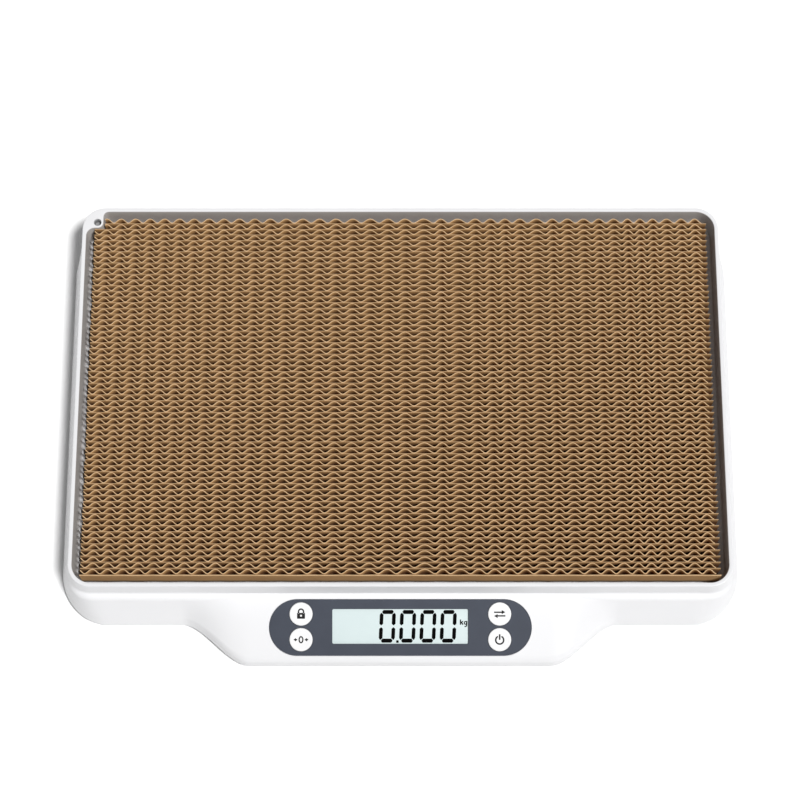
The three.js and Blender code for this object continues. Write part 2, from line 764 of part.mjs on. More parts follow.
put('battery_2', battery(CELL_B_Y, -1), 'wrap');
put('contact_link', contactPlate(1, CELL_A_Y - 4.5, CELL_B_Y + 4.5), 'steel');
put('contact_minus', contactPlate(-1, CELL_A_Y - 4.5, CELL_A_Y + 4.5), 'steel');
put('contact_plus', contactPlate(-1, CELL_B_Y - 4.5, CELL_B_Y + 4.5), 'steel');
put('contact_spring_1', contactSpring(CELL_A_Y, -1), 'steel');
put('contact_spring_2', contactSpring(CELL_B_Y, 1), 'steel');
put('battery_lead', batteryLead(), 'wire');

export default group;
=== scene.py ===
import math
import random

import bmesh
import bpy
from mathutils import Matrix, Vector


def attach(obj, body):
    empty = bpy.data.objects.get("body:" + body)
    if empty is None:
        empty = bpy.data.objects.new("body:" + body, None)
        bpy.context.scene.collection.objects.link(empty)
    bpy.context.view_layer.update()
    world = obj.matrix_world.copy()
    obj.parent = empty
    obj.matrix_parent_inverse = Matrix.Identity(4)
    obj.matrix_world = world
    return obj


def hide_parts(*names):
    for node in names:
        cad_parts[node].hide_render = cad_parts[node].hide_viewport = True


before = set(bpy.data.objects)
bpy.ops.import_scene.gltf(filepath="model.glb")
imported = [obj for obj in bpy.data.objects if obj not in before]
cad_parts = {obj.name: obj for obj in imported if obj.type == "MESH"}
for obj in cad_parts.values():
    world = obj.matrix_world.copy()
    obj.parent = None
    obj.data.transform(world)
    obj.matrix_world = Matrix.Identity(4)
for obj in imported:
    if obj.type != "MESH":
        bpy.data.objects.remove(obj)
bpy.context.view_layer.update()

# ---- dimensions of the object, in millimetres ----
# Most are the CAD's. The socket's radius and the front of the scratch board differ a little.

MM = 0.001
TRAY_HALF_X = 189.0
TRAY_HALF_Y = 114.7
TRAY_CORNER_R = 11.0
TRAY_Y = 19.5
RIM_Z = 38.0
RIM_W = 2.4
FLOOR_Z = 21.0
FLOOR_T = 2.0
BASE_Z = 3.2
WALL_T = 2.2
SIDE_D = 9.7
REAR_D = 3.0
APRON_D = 17.5
LOBE_D = 41.9
LOBE_X_IN = 87.0
LOBE_X_OUT = 127.5
FLARE_Y_FRONT = 87.5
FLARE_Y_REAR = 99.5
FRONT_CORNER_RX = 28.5
FRONT_CORNER_RY = 32.0
TILT = math.radians(17.0)
LOBE_TOP_Z = 25.86
LOBE_T = 3.0
PANEL_Y = -136.9
PANEL_L = 151.4
PANEL_H = 32.5
PANEL_T = 0.8
GAP = 0.3
LCD_W = 78.8
LCD_H = 20.2
LCD_V = 0.6
KEY_X = 57.4
KEY_DV = 7.4
KEY_V = 0.4
KEY_R = 6.7
KEY_PROUD = 0.6
SOCKET_X = -182.4
SOCKET_Y = 107.8
SOCKET_R = 2.3
SOCKET_BOSS_R = 3.4
SOCKET_DEPTH = 8.0
PAD_HALF_X = 184.5
PAD_Y_FRONT = -109.6
PAD_Y_REAR = 111.1
PAD_TOP_Z = 36.8
POST_X = 112.0
POST_Y = 98.0
POST_R = 3.6
BOARD_POST_X = 69.0
KEYS = (
    ("hold", -KEY_X, KEY_V + KEY_DV),
    ("tare", -KEY_X, KEY_V - KEY_DV),
    ("unit", KEY_X, KEY_V + KEY_DV),
    ("power", KEY_X, KEY_V - KEY_DV),
)


def smooth(t):
    u = min(1.0, max(0.0, t))
    return u * u * (3 - 2 * u)


def lobe_height(d):
    return LOBE_TOP_Z - math.tan(TILT) * d


def panel_matrix():
    """Carries the panel's own plane, in millimetres, to metres in the row frame."""
    z = lobe_height(-PANEL_Y - TRAY_HALF_Y)
    place = Matrix.Translation(Vector((0, PANEL_Y + TRAY_Y, z)) * MM)
    return place @ Matrix.Rotation(TILT, 4, "X") @ Matrix.Scale(MM, 4)


def at(x, y, z):
    """Carries millimetres, from a point placed from the tray's middle, to metres in the row frame."""
    return Matrix.Scale(MM, 4) @ Matrix.Translation((x, y + TRAY_Y, z))


PANEL = panel_matrix()


# ---- materials ----

NOISE_ROUGHNESS = 0.55
NOISE_LOW = 0.3
NOISE_HIGH = 0.7
TONE_DETAIL = 3.0
GRAIN_DETAIL = 2.0
# Heights of the bumps, in metres.
FINE_BUMP = 0.00004
CARD_BUMP = 0.0001
FACE_BUMP = 0.00008


def new_material(name):
    material = bpy.data.materials.new(name)
    material.use_nodes = True
    tree = material.node_tree
    shader = tree.nodes["Principled BSDF"]
    coords = tree.nodes.new("ShaderNodeTexCoord")
    return material, tree, shader, coords.outputs["Object"]


def noise(tree, coords, scale, detail):
    node = tree.nodes.new("ShaderNodeTexNoise")
    node.inputs["Scale"].default_value = scale
    node.inputs["Detail"].default_value = detail
    node.inputs["Roughness"].default_value = NOISE_ROUGHNESS
    tree.links.new(coords, node.inputs["Vector"])
    return node.outputs["Fac"]


def stretched(tree, coords, scale):
    node = tree.nodes.new("ShaderNodeMapping")
    node.inputs["Scale"].default_value = scale
    tree.links.new(coords, node.inputs["Vector"])
    return node.outputs["Vector"]


def ramp(tree, factor, low, high):
    node = tree.nodes.new("ShaderNodeValToRGB")
    node.color_ramp.elements[0].position = NOISE_LOW
    node.color_ramp.elements[1].position = NOISE_HIGH
    node.color_ramp.elements[0].color = (*low, 1)
    node.color_ramp.elements[1].color = (*high, 1)
    tree.links.new(factor, node.inputs["Fac"])
    return node.outputs["Color"]


def spread(tree, factor, low, high):
    node = tree.nodes.new("ShaderNodeMapRange")
    node.inputs["From Min"].default_value = NOISE_LOW
    node.inputs["From Max"].default_value = NOISE_HIGH
    node.inputs["To Min"].default_value = low
    node.inputs["To Max"].default_value = high
    tree.links.new(factor, node.inputs["Value"])
    return node.outputs["Result"]


def painted_depth_shade(tree, place, colour, shade_colour, z_low, z_high):
    """Painted shade: colour above z_high, turning to the shade colour by z_low; both heights in
    millimetres.
    """
    split = tree.nodes.new("ShaderNodeSeparateXYZ")
    tree.links.new(place, split.inputs["Vector"])
    level = tree.nodes.new("ShaderNodeMapRange")
    level.interpolation_type = "SMOOTHSTEP"
    level.inputs["From Min"].default_value = z_low * MM
    level.inputs["From Max"].default_value = z_high * MM
    tree.links.new(split.outputs["Z"], level.inputs["Value"])
    mix = tree.nodes.new("ShaderNodeMix")
    mix.data_type = "RGBA"
    tree.links.new(level.outputs["Result"], mix.inputs["Factor"])
    colours = [socket for socket in mix.inputs if socket.type == "RGBA"]
    colours[0].default_value = (*shade_colour, 1)
    tree.links.new(colour, colours[1])
    return next(socket for socket in mix.outputs if socket.type == "RGBA")


def bump(tree, shader, factor, strength, distance):
    node = tree.nodes.new("ShaderNodeBump")
    node.inputs["Strength"].default_value = strength
    node.inputs["Distance"].default_value = distance
    tree.links.new(factor, node.inputs["Height"])
    tree.links.new(node.outputs["Normal"], shader.inputs["Normal"])


def surface(name, low, high, rough, tone, grain, strength, depth=FINE_BUMP, metal=0.0, shine=0.5,
            squeeze=None, painted_shade=None):
    """Noise-driven colour between low and high, roughness between two values, and a fine bump.

    tone and grain are the scales of the colour's noise and of the bump's, strength and depth are the
    bump's, and shine is the specular level. squeeze stretches the noise. The last argument paints
    shade deep inside: the colour of the shade, the height where it is reached, and the height where
    it begins.
    """
    material, tree, shader, place = new_material(name)
    coords = stretched(tree, place, squeeze) if squeeze else place
    blotches = noise(tree, coords, tone, TONE_DETAIL)
    fine = noise(tree, coords, grain, GRAIN_DETAIL)
    colour = ramp(tree, blotches, low, high)
    # Painted shade: the colour turns darker lower down, set by height alone.
    if painted_shade:
        colour = painted_depth_shade(tree, place, colour, *painted_shade)
    tree.links.new(colour, shader.inputs["Base Color"])
    tree.links.new(spread(tree, fine, *rough), shader.inputs["Roughness"])
    shader.inputs["Metallic"].default_value = metal
    shader.inputs["Specular IOR Level"].default_value = shine
    bump(tree, shader, fine, strength, depth)
    return material


def grey(value, tint=0.0):
    return (value, value, value * (1 + tint))


MATERIALS = {
    "casing": surface("casing_white", grey(0.72, 0.015), grey(0.745, 0.015), (0.32, 0.4),
                      tone=18, grain=2600, strength=0.05, shine=0.25),
    # Painted shade: the tray's inner walls are the casing's white plastic, coloured darker to stand
    # in for the shade inside the tray.
    "tray_wall": surface("tray_wall_painted_shade", (0.54, 0.52, 0.50), (0.56, 0.54, 0.52), (0.5, 0.6),
                         tone=18, grain=2600, strength=0.05),
    "keys": surface("key_white", grey(0.74, 0.01), grey(0.77, 0.01), (0.36, 0.44),
                    tone=60, grain=2200, strength=0.05, shine=0.3),
    "slate": surface("slate_film", (0.035, 0.042, 0.060), (0.041, 0.049, 0.069), (0.5, 0.6),
                     tone=60, grain=3200, strength=0.08, shine=0.25),
    "lcd": surface("lcd_glass", (0.55, 0.64, 0.64), (0.57, 0.66, 0.66), (0.3, 0.36),
                   tone=30, grain=400, strength=0.01),
    "segment": surface("lcd_segment", grey(0.001), grey(0.003), (0.85, 0.95),
                       tone=80, grain=900, strength=0.02, shine=0.04),
    "print": surface("key_print", grey(0.010), grey(0.016), (0.7, 0.8),
                     tone=120, grain=2000, strength=0.02, shine=0.2),
    "black": surface("black_plastic", grey(0.018), grey(0.028), (0.45, 0.6),
                     tone=60, grain=1800, strength=0.1),
    "rubber": surface("foot_rubber", grey(0.42), grey(0.48), (0.75, 0.9),
                      tone=90, grain=1500, strength=0.25),
    "board": surface("circuit_board", (0.012, 0.085, 0.035), (0.018, 0.11, 0.045), (0.35, 0.45),
                     tone=200, grain=900, strength=0.1),
    "steel": surface("plated_steel", grey(0.55), grey(0.63), (0.28, 0.42),
                     tone=150, grain=1200, strength=0.1, metal=1.0, squeeze=(1, 8, 1)),
    "wrap": surface("battery_wrap", (0.03, 0.12, 0.075), (0.04, 0.15, 0.09), (0.25, 0.32),
                    tone=60, grain=800, strength=0.03, metal=0.2),
    "wrap_end": surface("battery_wrap_end", (0.42, 0.25, 0.08), (0.47, 0.29, 0.10), (0.25, 0.32),
                        tone=60, grain=800, strength=0.03, metal=0.3),
    "wire": surface("lead_sleeve", (0.32, 0.02, 0.015), (0.38, 0.03, 0.02), (0.45, 0.6),
                    tone=200, grain=900, strength=0.1),
    # Painted shade: the flute walls turn dark red-brown lower down, standing in for the shade deep in
    # the flutes.
    "kraft": surface("kraft_wall_painted_shade", (0.58, 0.34, 0.13), (0.74, 0.455, 0.19), (0.8, 0.95),
                     tone=160, grain=1500, strength=0.3, depth=CARD_BUMP, squeeze=(1, 1, 0.25),
                     painted_shade=((0.18, 0.066, 0.013), 29.5, 36.6)),
    "kraft_edge": surface("kraft_cut_edge", (0.53, 0.35, 0.185), (0.68, 0.46, 0.262), (0.85, 0.95),
                          tone=260, grain=2600, strength=0.4, depth=CARD_BUMP),
    # Painted shade: near-black for the ends of the strips, standing in for the shade in the open
    # flute ends.
    "painted_end_shade": surface("kraft_flute_end_painted_shade", (0.030, 0.018, 0.010), (0.055, 0.034, 0.018),
                         (0.85, 0.95), tone=260, grain=2600, strength=0.4, depth=CARD_BUMP),
    # Painted shade: the facing strip turns near-black towards its foot, standing in for the shade
    # below the front rim.
    "kraft_face": surface("kraft_liner_painted_shade", (0.66, 0.41, 0.195), (0.76, 0.485, 0.235), (0.75, 0.9),
                          tone=90, grain=1400, strength=0.3, depth=FACE_BUMP, squeeze=(0.3, 1, 1),
                          painted_shade=((0.03, 0.014, 0.005), 21.5, 27)),
    # Painted shade: the sleeve's grey stands in for the shade inside the socket's hole.
    "socket": surface("socket_shade_sleeve", grey(0.24), grey(0.27), (0.5, 0.6),
                      tone=200, grain=2000, strength=0.1),
}


# ---- mesh helpers ----

# Angles in degrees, above which an edge stays crisp, and metres between points that are joined.
CRISP = 35
CASING_CRISP = 28
CARD_CRISP = 50
FILM_CRISP = 12
DOOR_CRISP = 30
SAME_POINT = 1e-7


def add_object(name, mesh):
    obj = bpy.data.objects.new(name, mesh)
    bpy.context.scene.collection.objects.link(obj)
    return obj


def mesh_object(name, points, faces, materials, matrix=None, indices=None, angle=None):
    """points in millimetres; matrix carries them to metres in the row frame."""
    mesh = bpy.data.meshes.new(name)
    matrix = matrix or Matrix.Scale(MM, 4)
    mesh.from_pydata([matrix @ Vector(p) for p in points], [], faces)
    for material in materials:
        mesh.materials.append(MATERIALS[material])
    if indices:
        mesh.polygons.foreach_set("material_index", indices)
    mesh.update()
    obj = add_object(name, mesh)
    face_outward(obj)
    if angle is not None:
        shade(obj, angle)
    return obj


def face_outward(obj, weld=False):
    """Turns all faces outward, after joining points in the same place if weld is true."""
    bm = bmesh.new()
    bm.from_mesh(obj.data)
    if weld:
        bmesh.ops.remove_doubles(bm, verts=bm.verts, dist=SAME_POINT)
    bmesh.ops.recalc_face_normals(bm, faces=bm.faces)
    bm.to_mesh(obj.data)
    bm.free()


def shade(obj, angle):
    """Smooth shading, with the edges that turn by more than angle degrees kept crisp."""
    bm = bmesh.new()
    bm.from_mesh(obj.data)
    limit = math.radians(angle)
    for face in bm.faces:
        face.smooth = True
    for edge in bm.edges:
        edge.smooth = not (len(edge.link_faces) == 2 and edge.calc_face_angle(0.0) > limit)
    bm.to_mesh(obj.data)
    bm.free()


def evaluated_mesh(obj):
    bpy.context.view_layer.update()
    graph = bpy.context.evaluated_depsgraph_get()
    return bpy.data.meshes.new_from_object(obj.evaluated_get(graph))


def combine(obj, others, operation):
    """Joins or cuts obj with the others, which are used up."""
    for other in others:
        modifier = obj.modifiers.new("combine", "BOOLEAN")
        modifier.operation = operation
        modifier.solver = "EXACT"
        modifier.object = other
    mesh = evaluated_mesh(obj)
    obj.modifiers.clear()
    obj.data = mesh
    for other in others:
        bpy.data.objects.remove(other, do_unlink=True)


def cut(obj, cutters):
    combine(obj, cutters, "DIFFERENCE")


def arc(cx, cy, r, start, end, steps):
    points = []
    for i in range(steps + 1):
        a = math.radians(start + (end - start) * i / steps)
        points.append((cx + r * math.cos(a), cy + r * math.sin(a)))
    return points


def rounded_rect(x0, x1, y0, y1, r, steps):
    points = []
    left, right, low, high = x0 + r, x1 - r, y0 + r, y1 - r
    for cx, cy, a in ((right, high, 0), (left, high, 90), (left, low, 180), (right, low, 270)):
        points += arc(cx, cy, r, a, a + 90, steps)
    return points


def ring(x, y, r, steps):
    """A closed circle, without its last point, which is the first one again."""
    return arc(x, y, r, 0, 360, steps)[:-1]


def oval(cx, cy, rx, ry, start, end, steps):
    return [(cx + rx * c, cy + ry * s) for c, s in arc(0, 0, 1, start, end, steps)]


def skin(rings, n):
    """Faces between closed rings of n points each, row by row, and then a cap on either end."""
    faces = []
    for start in range(0, (rings - 1) * n, n):
        for i in range(n):
            j = (i + 1) % n
            faces.append((start + i, start + j, start + n + j, start + n + i))
    return faces + [tuple(range(n))[::-1], tuple(range((rings - 1) * n, rings * n))]


def prism(name, outline, z0, z1, material, matrix=None):
    points = [(x, y, z) for z in (z0, z1) for x, y in outline]
    return mesh_object(name, points, skin(2, len(outline)), [material], matrix)


def lathe(name, profile, materials, matrix, segments, kinds=None):
    """A turned piece. profile is (radius, height) pairs, the first and last of them on the axis.

    kinds is the material of each step of the profile.
    """
    points = [(0, 0, profile[0][1])]
    inner = profile[1:-1]
    for r, z in inner:
        for i in range(segments):
            a = 2 * math.pi * i / segments
            points.append((r * math.cos(a), r * math.sin(a), z))
    points.append((0, 0, profile[-1][1]))
    faces = []
    last = len(points) - 1
    for i in range(segments):
        j = (i + 1) % segments
        faces.append((0, 1 + j, 1 + i))
        for k in range(len(inner) - 1):
            a = 1 + k * segments
            faces.append((a + i, a + j, a + j + segments, a + i + segments))
        top = 1 + (len(inner) - 1) * segments
        faces.append((top + i, top + j, last))
    indices = kinds * segments if kinds else None
    return mesh_object(name, points, faces, materials, matrix, indices, CRISP)


def flat_shape(name, loops, z0, z1, material, matrix, bevel=0.0):
    """Filled outlines with holes, in the plane of matrix, from height z0 to z1."""
    curve = bpy.data.curves.new(name, "CURVE")
    curve.dimensions = "2D"
    curve.fill_mode = "BOTH"
    curve.extrude = (z1 - z0) / 2 - bevel
    curve.bevel_depth = bevel
    curve.bevel_resolution = 2
    for loop in loops:
        spline = curve.splines.new("POLY")
        spline.points.add(len(loop) - 1)
        for point, (x, y) in zip(spline.points, loop):
            point.co = (x, y, 0, 1)
        spline.use_cyclic_u = True
    obj = add_object(name + "_outline", curve)
    mesh = evaluated_mesh(obj)
    bpy.data.objects.remove(obj, do_unlink=True)
    mesh.transform(matrix @ Matrix.Translation((0, 0, (z0 + z1) / 2)))
    mesh.materials.clear()
    mesh.materials.append(MATERIALS[material])
    result = add_object(name, mesh)
    face_outward(result, weld=True)
    shade(result, FILM_CRISP)
    return result


def finish_piece(obj, body, slot, *nodes):
    """Gives the piece its body, and hides the CAD nodes that it stands for. slot is not used."""
    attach(obj, body)
    if nodes:
        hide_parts(*nodes)


# ---- casing ----

# Places of the sections along half the tray's edge, from the middle of the front to the rear.
LOBE_XS = (0, 20, 40, 60, 74, 82)
LOBE_STEPS = 36
APRON_XS = (134, 142, 150, 160, 166, 170.2, 174)
FRONT_CORNER_STEPS = 30
SIDE_YS = (-101, -98, -92, -60, -20, 20, 60, 84)
FLARE_STEPS = 12
REAR_SIDE_Y = 102
REAR_CORNER_STEPS = 16
REAR_XS = (172, 140, 100, 50)
# The bend round the socket's boss.
BEND_X = -172.0
BEND_Y = 92.0
BEND_STATIONS = 61
BEND_REAR_R = 3
BEND_SIDE_R = 5
# The section: widths out from the tray's edge, heights, and how far each corner is rounded.
WALL_SHARES = (0.30, 0.42, 0.80, 0.93)
FLOOR_LAP = 3.2
DRAFT = 0.1
CREST_IN = 1.1
CREST_OUT = 1.4
RIM_EDGE = 0.6
FOOT_EDGE = 0.8
TRAY_RADII = (0, 1.6, 0.75, 0)
OUTSIDE_RADII = (0, 0.75, 1.4, 1.6, 1.6, 1.2, 0.7, 0)
MOST_OF_SIDE = 0.45
TRAY_WALL_ROWS = range(2, 7)
# Screw posts: the cover's six stand on the base, the circuit board's two hang behind the panel.
POST_FOOT = 3.6
PILOT_R = 1.6
PILOT_FOOT = 3
PILOT_TOP = 12
BOARD_POST_R = 2.4
BOARD_POST_SPAN = (-6.9, -2.5)
BOARD_PILOT_R = 1.25
BOARD_PILOT_SPAN = (-8, -3.4)
# Openings in the panel's seat.
RECESS_TOP = 6
WINDOW_HALF_W = 41.5
WINDOW_HALF_H = 12.3
WINDOW_R = 0.4
OPENING_SPAN = (-6, 2)
KEY_HOLE_GAP = 0.25
SLEEVE_T = 0.35
SLEEVE_GAP = 0.1
SLEEVE_TOP_Z = RIM_Z - 0.9
SLEEVE_FLOOR_Z = RIM_Z - 4.6
SLEEVE_LOW_Z = RIM_Z - SOCKET_DEPTH + 0.15


def front_reach(x):
    s = smooth((LOBE_X_OUT - abs(x)) / (LOBE_X_OUT - LOBE_X_IN))
    return APRON_D + (LOBE_D - APRON_D) * s


def side_reach(y):
    s = smooth((FLARE_Y_REAR - y) / (FLARE_Y_REAR - FLARE_Y_FRONT))
    return REAR_D + (SIDE_D - REAR_D) * s


def corner_reach(px, py, ux, uy):
    """How far it is from a point, along a direction, to the ellipse of the front corner."""
    cx = TRAY_HALF_X + SIDE_D - FRONT_CORNER_RX
    cy = TRAY_HALF_Y + APRON_D - FRONT_CORNER_RY
    ax, ay = (px - cx) / FRONT_CORNER_RX, (py - cy) / FRONT_CORNER_RY
    bx, by = ux / FRONT_CORNER_RX, uy / FRONT_CORNER_RY
    a = bx * bx + by * by
    b = 2 * (ax * bx + ay * by)
    c = ax * ax + ay * ay - 1
    return (-b + math.sqrt(b * b - 4 * a * c)) / (2 * a)


class Station:
    """A place on the tray edge, the way out from it, and the shape of the casing's section there."""

    def __init__(self, x, y, ux, uy, reach, apron=0.0, lobe=0.0, inner=None):
        self.x, self.y, self.ux, self.uy = x, y, ux, uy
        self.reach, self.apron, self.lobe = reach, apron, lobe
        self.inner = inner

    def mirrored(self):
        return Station(-self.x, self.y, -self.ux, self.uy, self.reach, self.apron, self.lobe)

    def point(self, d, z):
        return (self.x + self.ux * d, self.y + self.uy * d + TRAY_Y, z)

    def tray_point(self, d, z):
        if not self.inner:
            return self.point(d, z)
        x, y, ux, uy = self.inner
        return (x + ux * d, y + uy * d + TRAY_Y, z)


def half_stations():
    side, front = TRAY_HALF_Y - TRAY_CORNER_R, TRAY_HALF_X - TRAY_CORNER_R
    found = [Station(x, -TRAY_HALF_Y, 0, -1, LOBE_D, 0, 1) for x in LOBE_XS]
    for i in range(LOBE_STEPS + 1):
        x = LOBE_X_IN + (LOBE_X_OUT - LOBE_X_IN) * i / LOBE_STEPS
        s = smooth(1 - i / LOBE_STEPS)
        found.append(Station(x, -TRAY_HALF_Y, 0, -1, front_reach(x), 1 - s, s))
    found += [Station(x, -TRAY_HALF_Y, 0, -1, APRON_D, 1, 0) for x in APRON_XS]
    for i in range(FRONT_CORNER_STEPS + 1):
        t = 1 - i / FRONT_CORNER_STEPS
        a = math.pi / 2 * t
        ux, uy = math.cos(a), math.sin(a)
        x, y = front + TRAY_CORNER_R * ux, side + TRAY_CORNER_R * uy
        found.append(Station(x, -y, ux, -uy, corner_reach(x, y, ux, uy), smooth(t), 0))
    found += [Station(TRAY_HALF_X, y, 1, 0, SIDE_D) for y in SIDE_YS]
    for i in range(FLARE_STEPS + 1):
        y = FLARE_Y_FRONT + (FLARE_Y_REAR - FLARE_Y_FRONT) * i / FLARE_STEPS
        found.append(Station(TRAY_HALF_X, y, 1, 0, side_reach(y)))
    found.append(Station(TRAY_HALF_X, REAR_SIDE_Y, 1, 0, REAR_D))
    for i in range(REAR_CORNER_STEPS + 1):
        a = math.pi / 2 * i / REAR_CORNER_STEPS
        ux, uy = math.cos(a), math.sin(a)
        x, y = front + TRAY_CORNER_R * ux, side + TRAY_CORNER_R * uy
        found.append(Station(x, y, ux, uy, REAR_D))
    found += [Station(x, TRAY_HALF_Y, 0, 1, REAR_D) for x in REAR_XS]
    return found


def resample(path, count):
    """count points spread evenly along a polyline, ends included."""
    lengths = [0.0]
    for a, b in zip(path, path[1:]):
        lengths.append(lengths[-1] + math.dist(a, b))
    result = []
    for i in range(count):
        want = lengths[-1] * i / (count - 1)
        k = max(j for j in range(len(path) - 1) if lengths[j] <= want + 1e-9)
        t = (want - lengths[k]) / (lengths[k + 1] - lengths[k])
        result.append(tuple(a + (b - a) * t for a, b in zip(path[k], path[k + 1])))
    return result


def socket_corner():
    """Rear left corner, rear wall first: the tray edge bends in round the socket's boss."""
    side, front = TRAY_HALF_Y - TRAY_CORNER_R, -(TRAY_HALF_X - TRAY_CORNER_R)
    right, low = SOCKET_X + SOCKET_BOSS_R, SOCKET_Y - SOCKET_BOSS_R
    start, end = (BEND_X, TRAY_HALF_Y), (-TRAY_HALF_X, BEND_Y)
    plain = [start, *arc(front, side, TRAY_CORNER_R, 90, 180, 30), end]
    bent = [start, *arc(right + BEND_REAR_R, TRAY_HALF_Y - BEND_REAR_R, BEND_REAR_R, 90, 180, 10)]
    bent += arc(SOCKET_X, SOCKET_Y, SOCKET_BOSS_R, 0, -90, 14)
    bent += [*arc(-TRAY_HALF_X + BEND_SIDE_R, low - BEND_SIDE_R, BEND_SIDE_R, 90, 180, 12), end]
    outer, inner = resample(plain, BEND_STATIONS), resample(bent, BEND_STATIONS)
    found = []
    for i, (x, y) in enumerate(outer):
        a = math.atan2(max(0.0, y - side), min(0.0, x - front))
        if x > front:
            a = math.pi / 2
        before, after = inner[max(0, i - 1)], inner[min(BEND_STATIONS - 1, i + 1)]
        tx, ty = after[0] - before[0], after[1] - before[1]
        size = math.hypot(tx, ty)
        reach = side_reach(y) if y < side else REAR_D
        place = (*inner[i], ty / size, -tx / size)
        found.append(Station(x, y, math.cos(a), math.sin(a), reach, inner=place))
    return found


def all_stations():
    right = half_stations()
    left = [s.mirrored() for s in right if s.x > 0][::-1]
    rear = [s for s in left if s.y >= TRAY_HALF_Y - 1e-6 and s.x > BEND_X + 1]
    rest = [s for s in left if s.y < BEND_Y - 0.5]
    return right + rear + socket_corner() + rest


def blend_points(s, wall, apron, lobe):
    """The section at s, between the plain wall's, the apron's and the lobe's."""
    plain = 1 - s.apron - s.lobe
    return [
        tuple(w * plain + a * s.apron + b * s.lobe for w, a, b in zip(*triple))
        for triple in zip(wall, apron, lobe)
    ]


def lerp(a, b, t):
    return (a[0] + (b[0] - a[0]) * t, a[1] + (b[1] - a[1]) * t)


def rounded(points, radii, steps=5):
    """The polyline with each inner corner turned into a curve of steps points.

    A curve takes at most MOST_OF_SIDE of the sides it joins.
    """
    result = [points[0]]
    for i in range(1, len(points) - 1):
        p, before, after = points[i], points[i - 1], points[i + 1]
        la, lb = math.dist(p, before), math.dist(p, after)
        a = lerp(p, before, min(radii[i], MOST_OF_SIDE * la) / la)
        b = lerp(p, after, min(radii[i], MOST_OF_SIDE * lb) / lb)
        for k in range(steps):
            t = k / (steps - 1)
            result.append(lerp(lerp(a, p, t), lerp(p, b, t), t))
    result.append(points[-1])
    return result


def outer_section(s):
    """From the rim's outer edge down to the base, as (distance out, height) pairs."""
    top, foot = (RIM_W, RIM_Z - RIM_EDGE), (s.reach, BASE_Z + FOOT_EDGE)
    wall = [lerp(top, foot, t) for t in WALL_SHARES]
    apron = [(3.2, 26.0), (7.1, 25.0), (s.reach - 2.2, 9.0), (s.reach - 0.6, 5.4)]
    edge = max(s.reach - 2.8, 8.2)
    lobe = [
        (3.2, lobe_height(3.2)), (3.8, lobe_height(3.8)), (edge, lobe_height(edge)),
        (s.reach - 0.5, lobe_height(edge) - 2.3),
    ]
    return [(RIM_W, RIM_Z), *blend_points(s, wall, apron, lobe), foot, (s.reach - 0.6, BASE_Z)]


def inner_section(s):
    """From the base up inside the wall to the underside of the tray, as (distance out, height)."""
    d, under = s.reach - WALL_T, FLOOR_Z - FLOOR_T
    slope = (s.reach - RIM_W) / (RIM_Z - BASE_Z - 1.4)
    high = min(28, RIM_Z - RIM_EDGE - (WALL_T + 2.6 - RIM_W) / max(slope, 0.2))
    room = smooth((s.reach - 4) / 5)
    top = under - 0.6 + (high - under + 0.6) * room
    plain = max(d - slope * (top - BASE_Z), min(d - 0.1, 2.3))
    wall = [
        (d - 0.2 * slope, BASE_Z + 1.0), (plain, top), (min(plain - 0.1, 2.1), top - 0.4 * room),
        (min(plain - 0.2, 2.0), min(top - 0.5, under + 0.9)),
    ]
    apron = [(d - 0.6, 5.4), (5.9, 22.6), (2.6, 22.9), (2.0, under + 0.9)]
    drop, edge = LOBE_T / math.cos(TILT), max(d - 1.4, 6)
    lobe = [
        (d, lobe_height(edge) - drop - 1.0), (edge, lobe_height(edge) - drop),
        (2.6, lobe_height(2.6) - drop), (2.0, under + 0.9),
    ]
    return [(d, BASE_Z), *blend_points(s, wall, apron, lobe), (min(plain - 0.9, 0.4), under)]


def shell_ring_points(s):
    """One section of the casing, from the tray's floor over the rim and back under the tray."""
    tray = [(-FLOOR_LAP, FLOOR_Z), (-DRAFT, FLOOR_Z), (0, RIM_Z), (CREST_IN, RIM_Z)]
    tray = rounded(tray, TRAY_RADII)
    outside = rounded([(CREST_OUT, RIM_Z), *outer_section(s)], OUTSIDE_RADII)
    points = [s.tray_point(d, z) for d, z in tray[:-1]]
    points += [s.point(d, z) for d, z in outside]
    points += [s.point(d, z) for d, z in inner_section(s)]
    return points


def post_places():
    return [(x, y) for y in (POST_Y, -POST_Y) for x in (-POST_X, 0, POST_X)]


def add_posts(shell):
    """Screw posts under the tray and behind the panel, with their holes."""
    posts, holes = [], []
    for x, y in post_places():
        centre = (x, y + TRAY_Y)
        post, pilot = ring(*centre, POST_R, 40), ring(*centre, PILOT_R, 24)
        posts.append(prism("post", post, BASE_Z + POST_FOOT, FLOOR_Z - 1, "casing"))
        holes.append(prism("hole", pilot, BASE_Z + PILOT_FOOT, BASE_Z + PILOT_TOP, "casing"))
    for x in (-BOARD_POST_X, BOARD_POST_X):
        post, pilot = ring(x, 0, BOARD_POST_R, 40), ring(x, 0, BOARD_PILOT_R, 24)
        posts.append(prism("post", post, *BOARD_POST_SPAN, "casing", PANEL))
        holes.append(prism("hole", pilot, *BOARD_PILOT_SPAN, "casing", PANEL))
    combine(shell, posts, "UNION")
    cut(shell, holes)


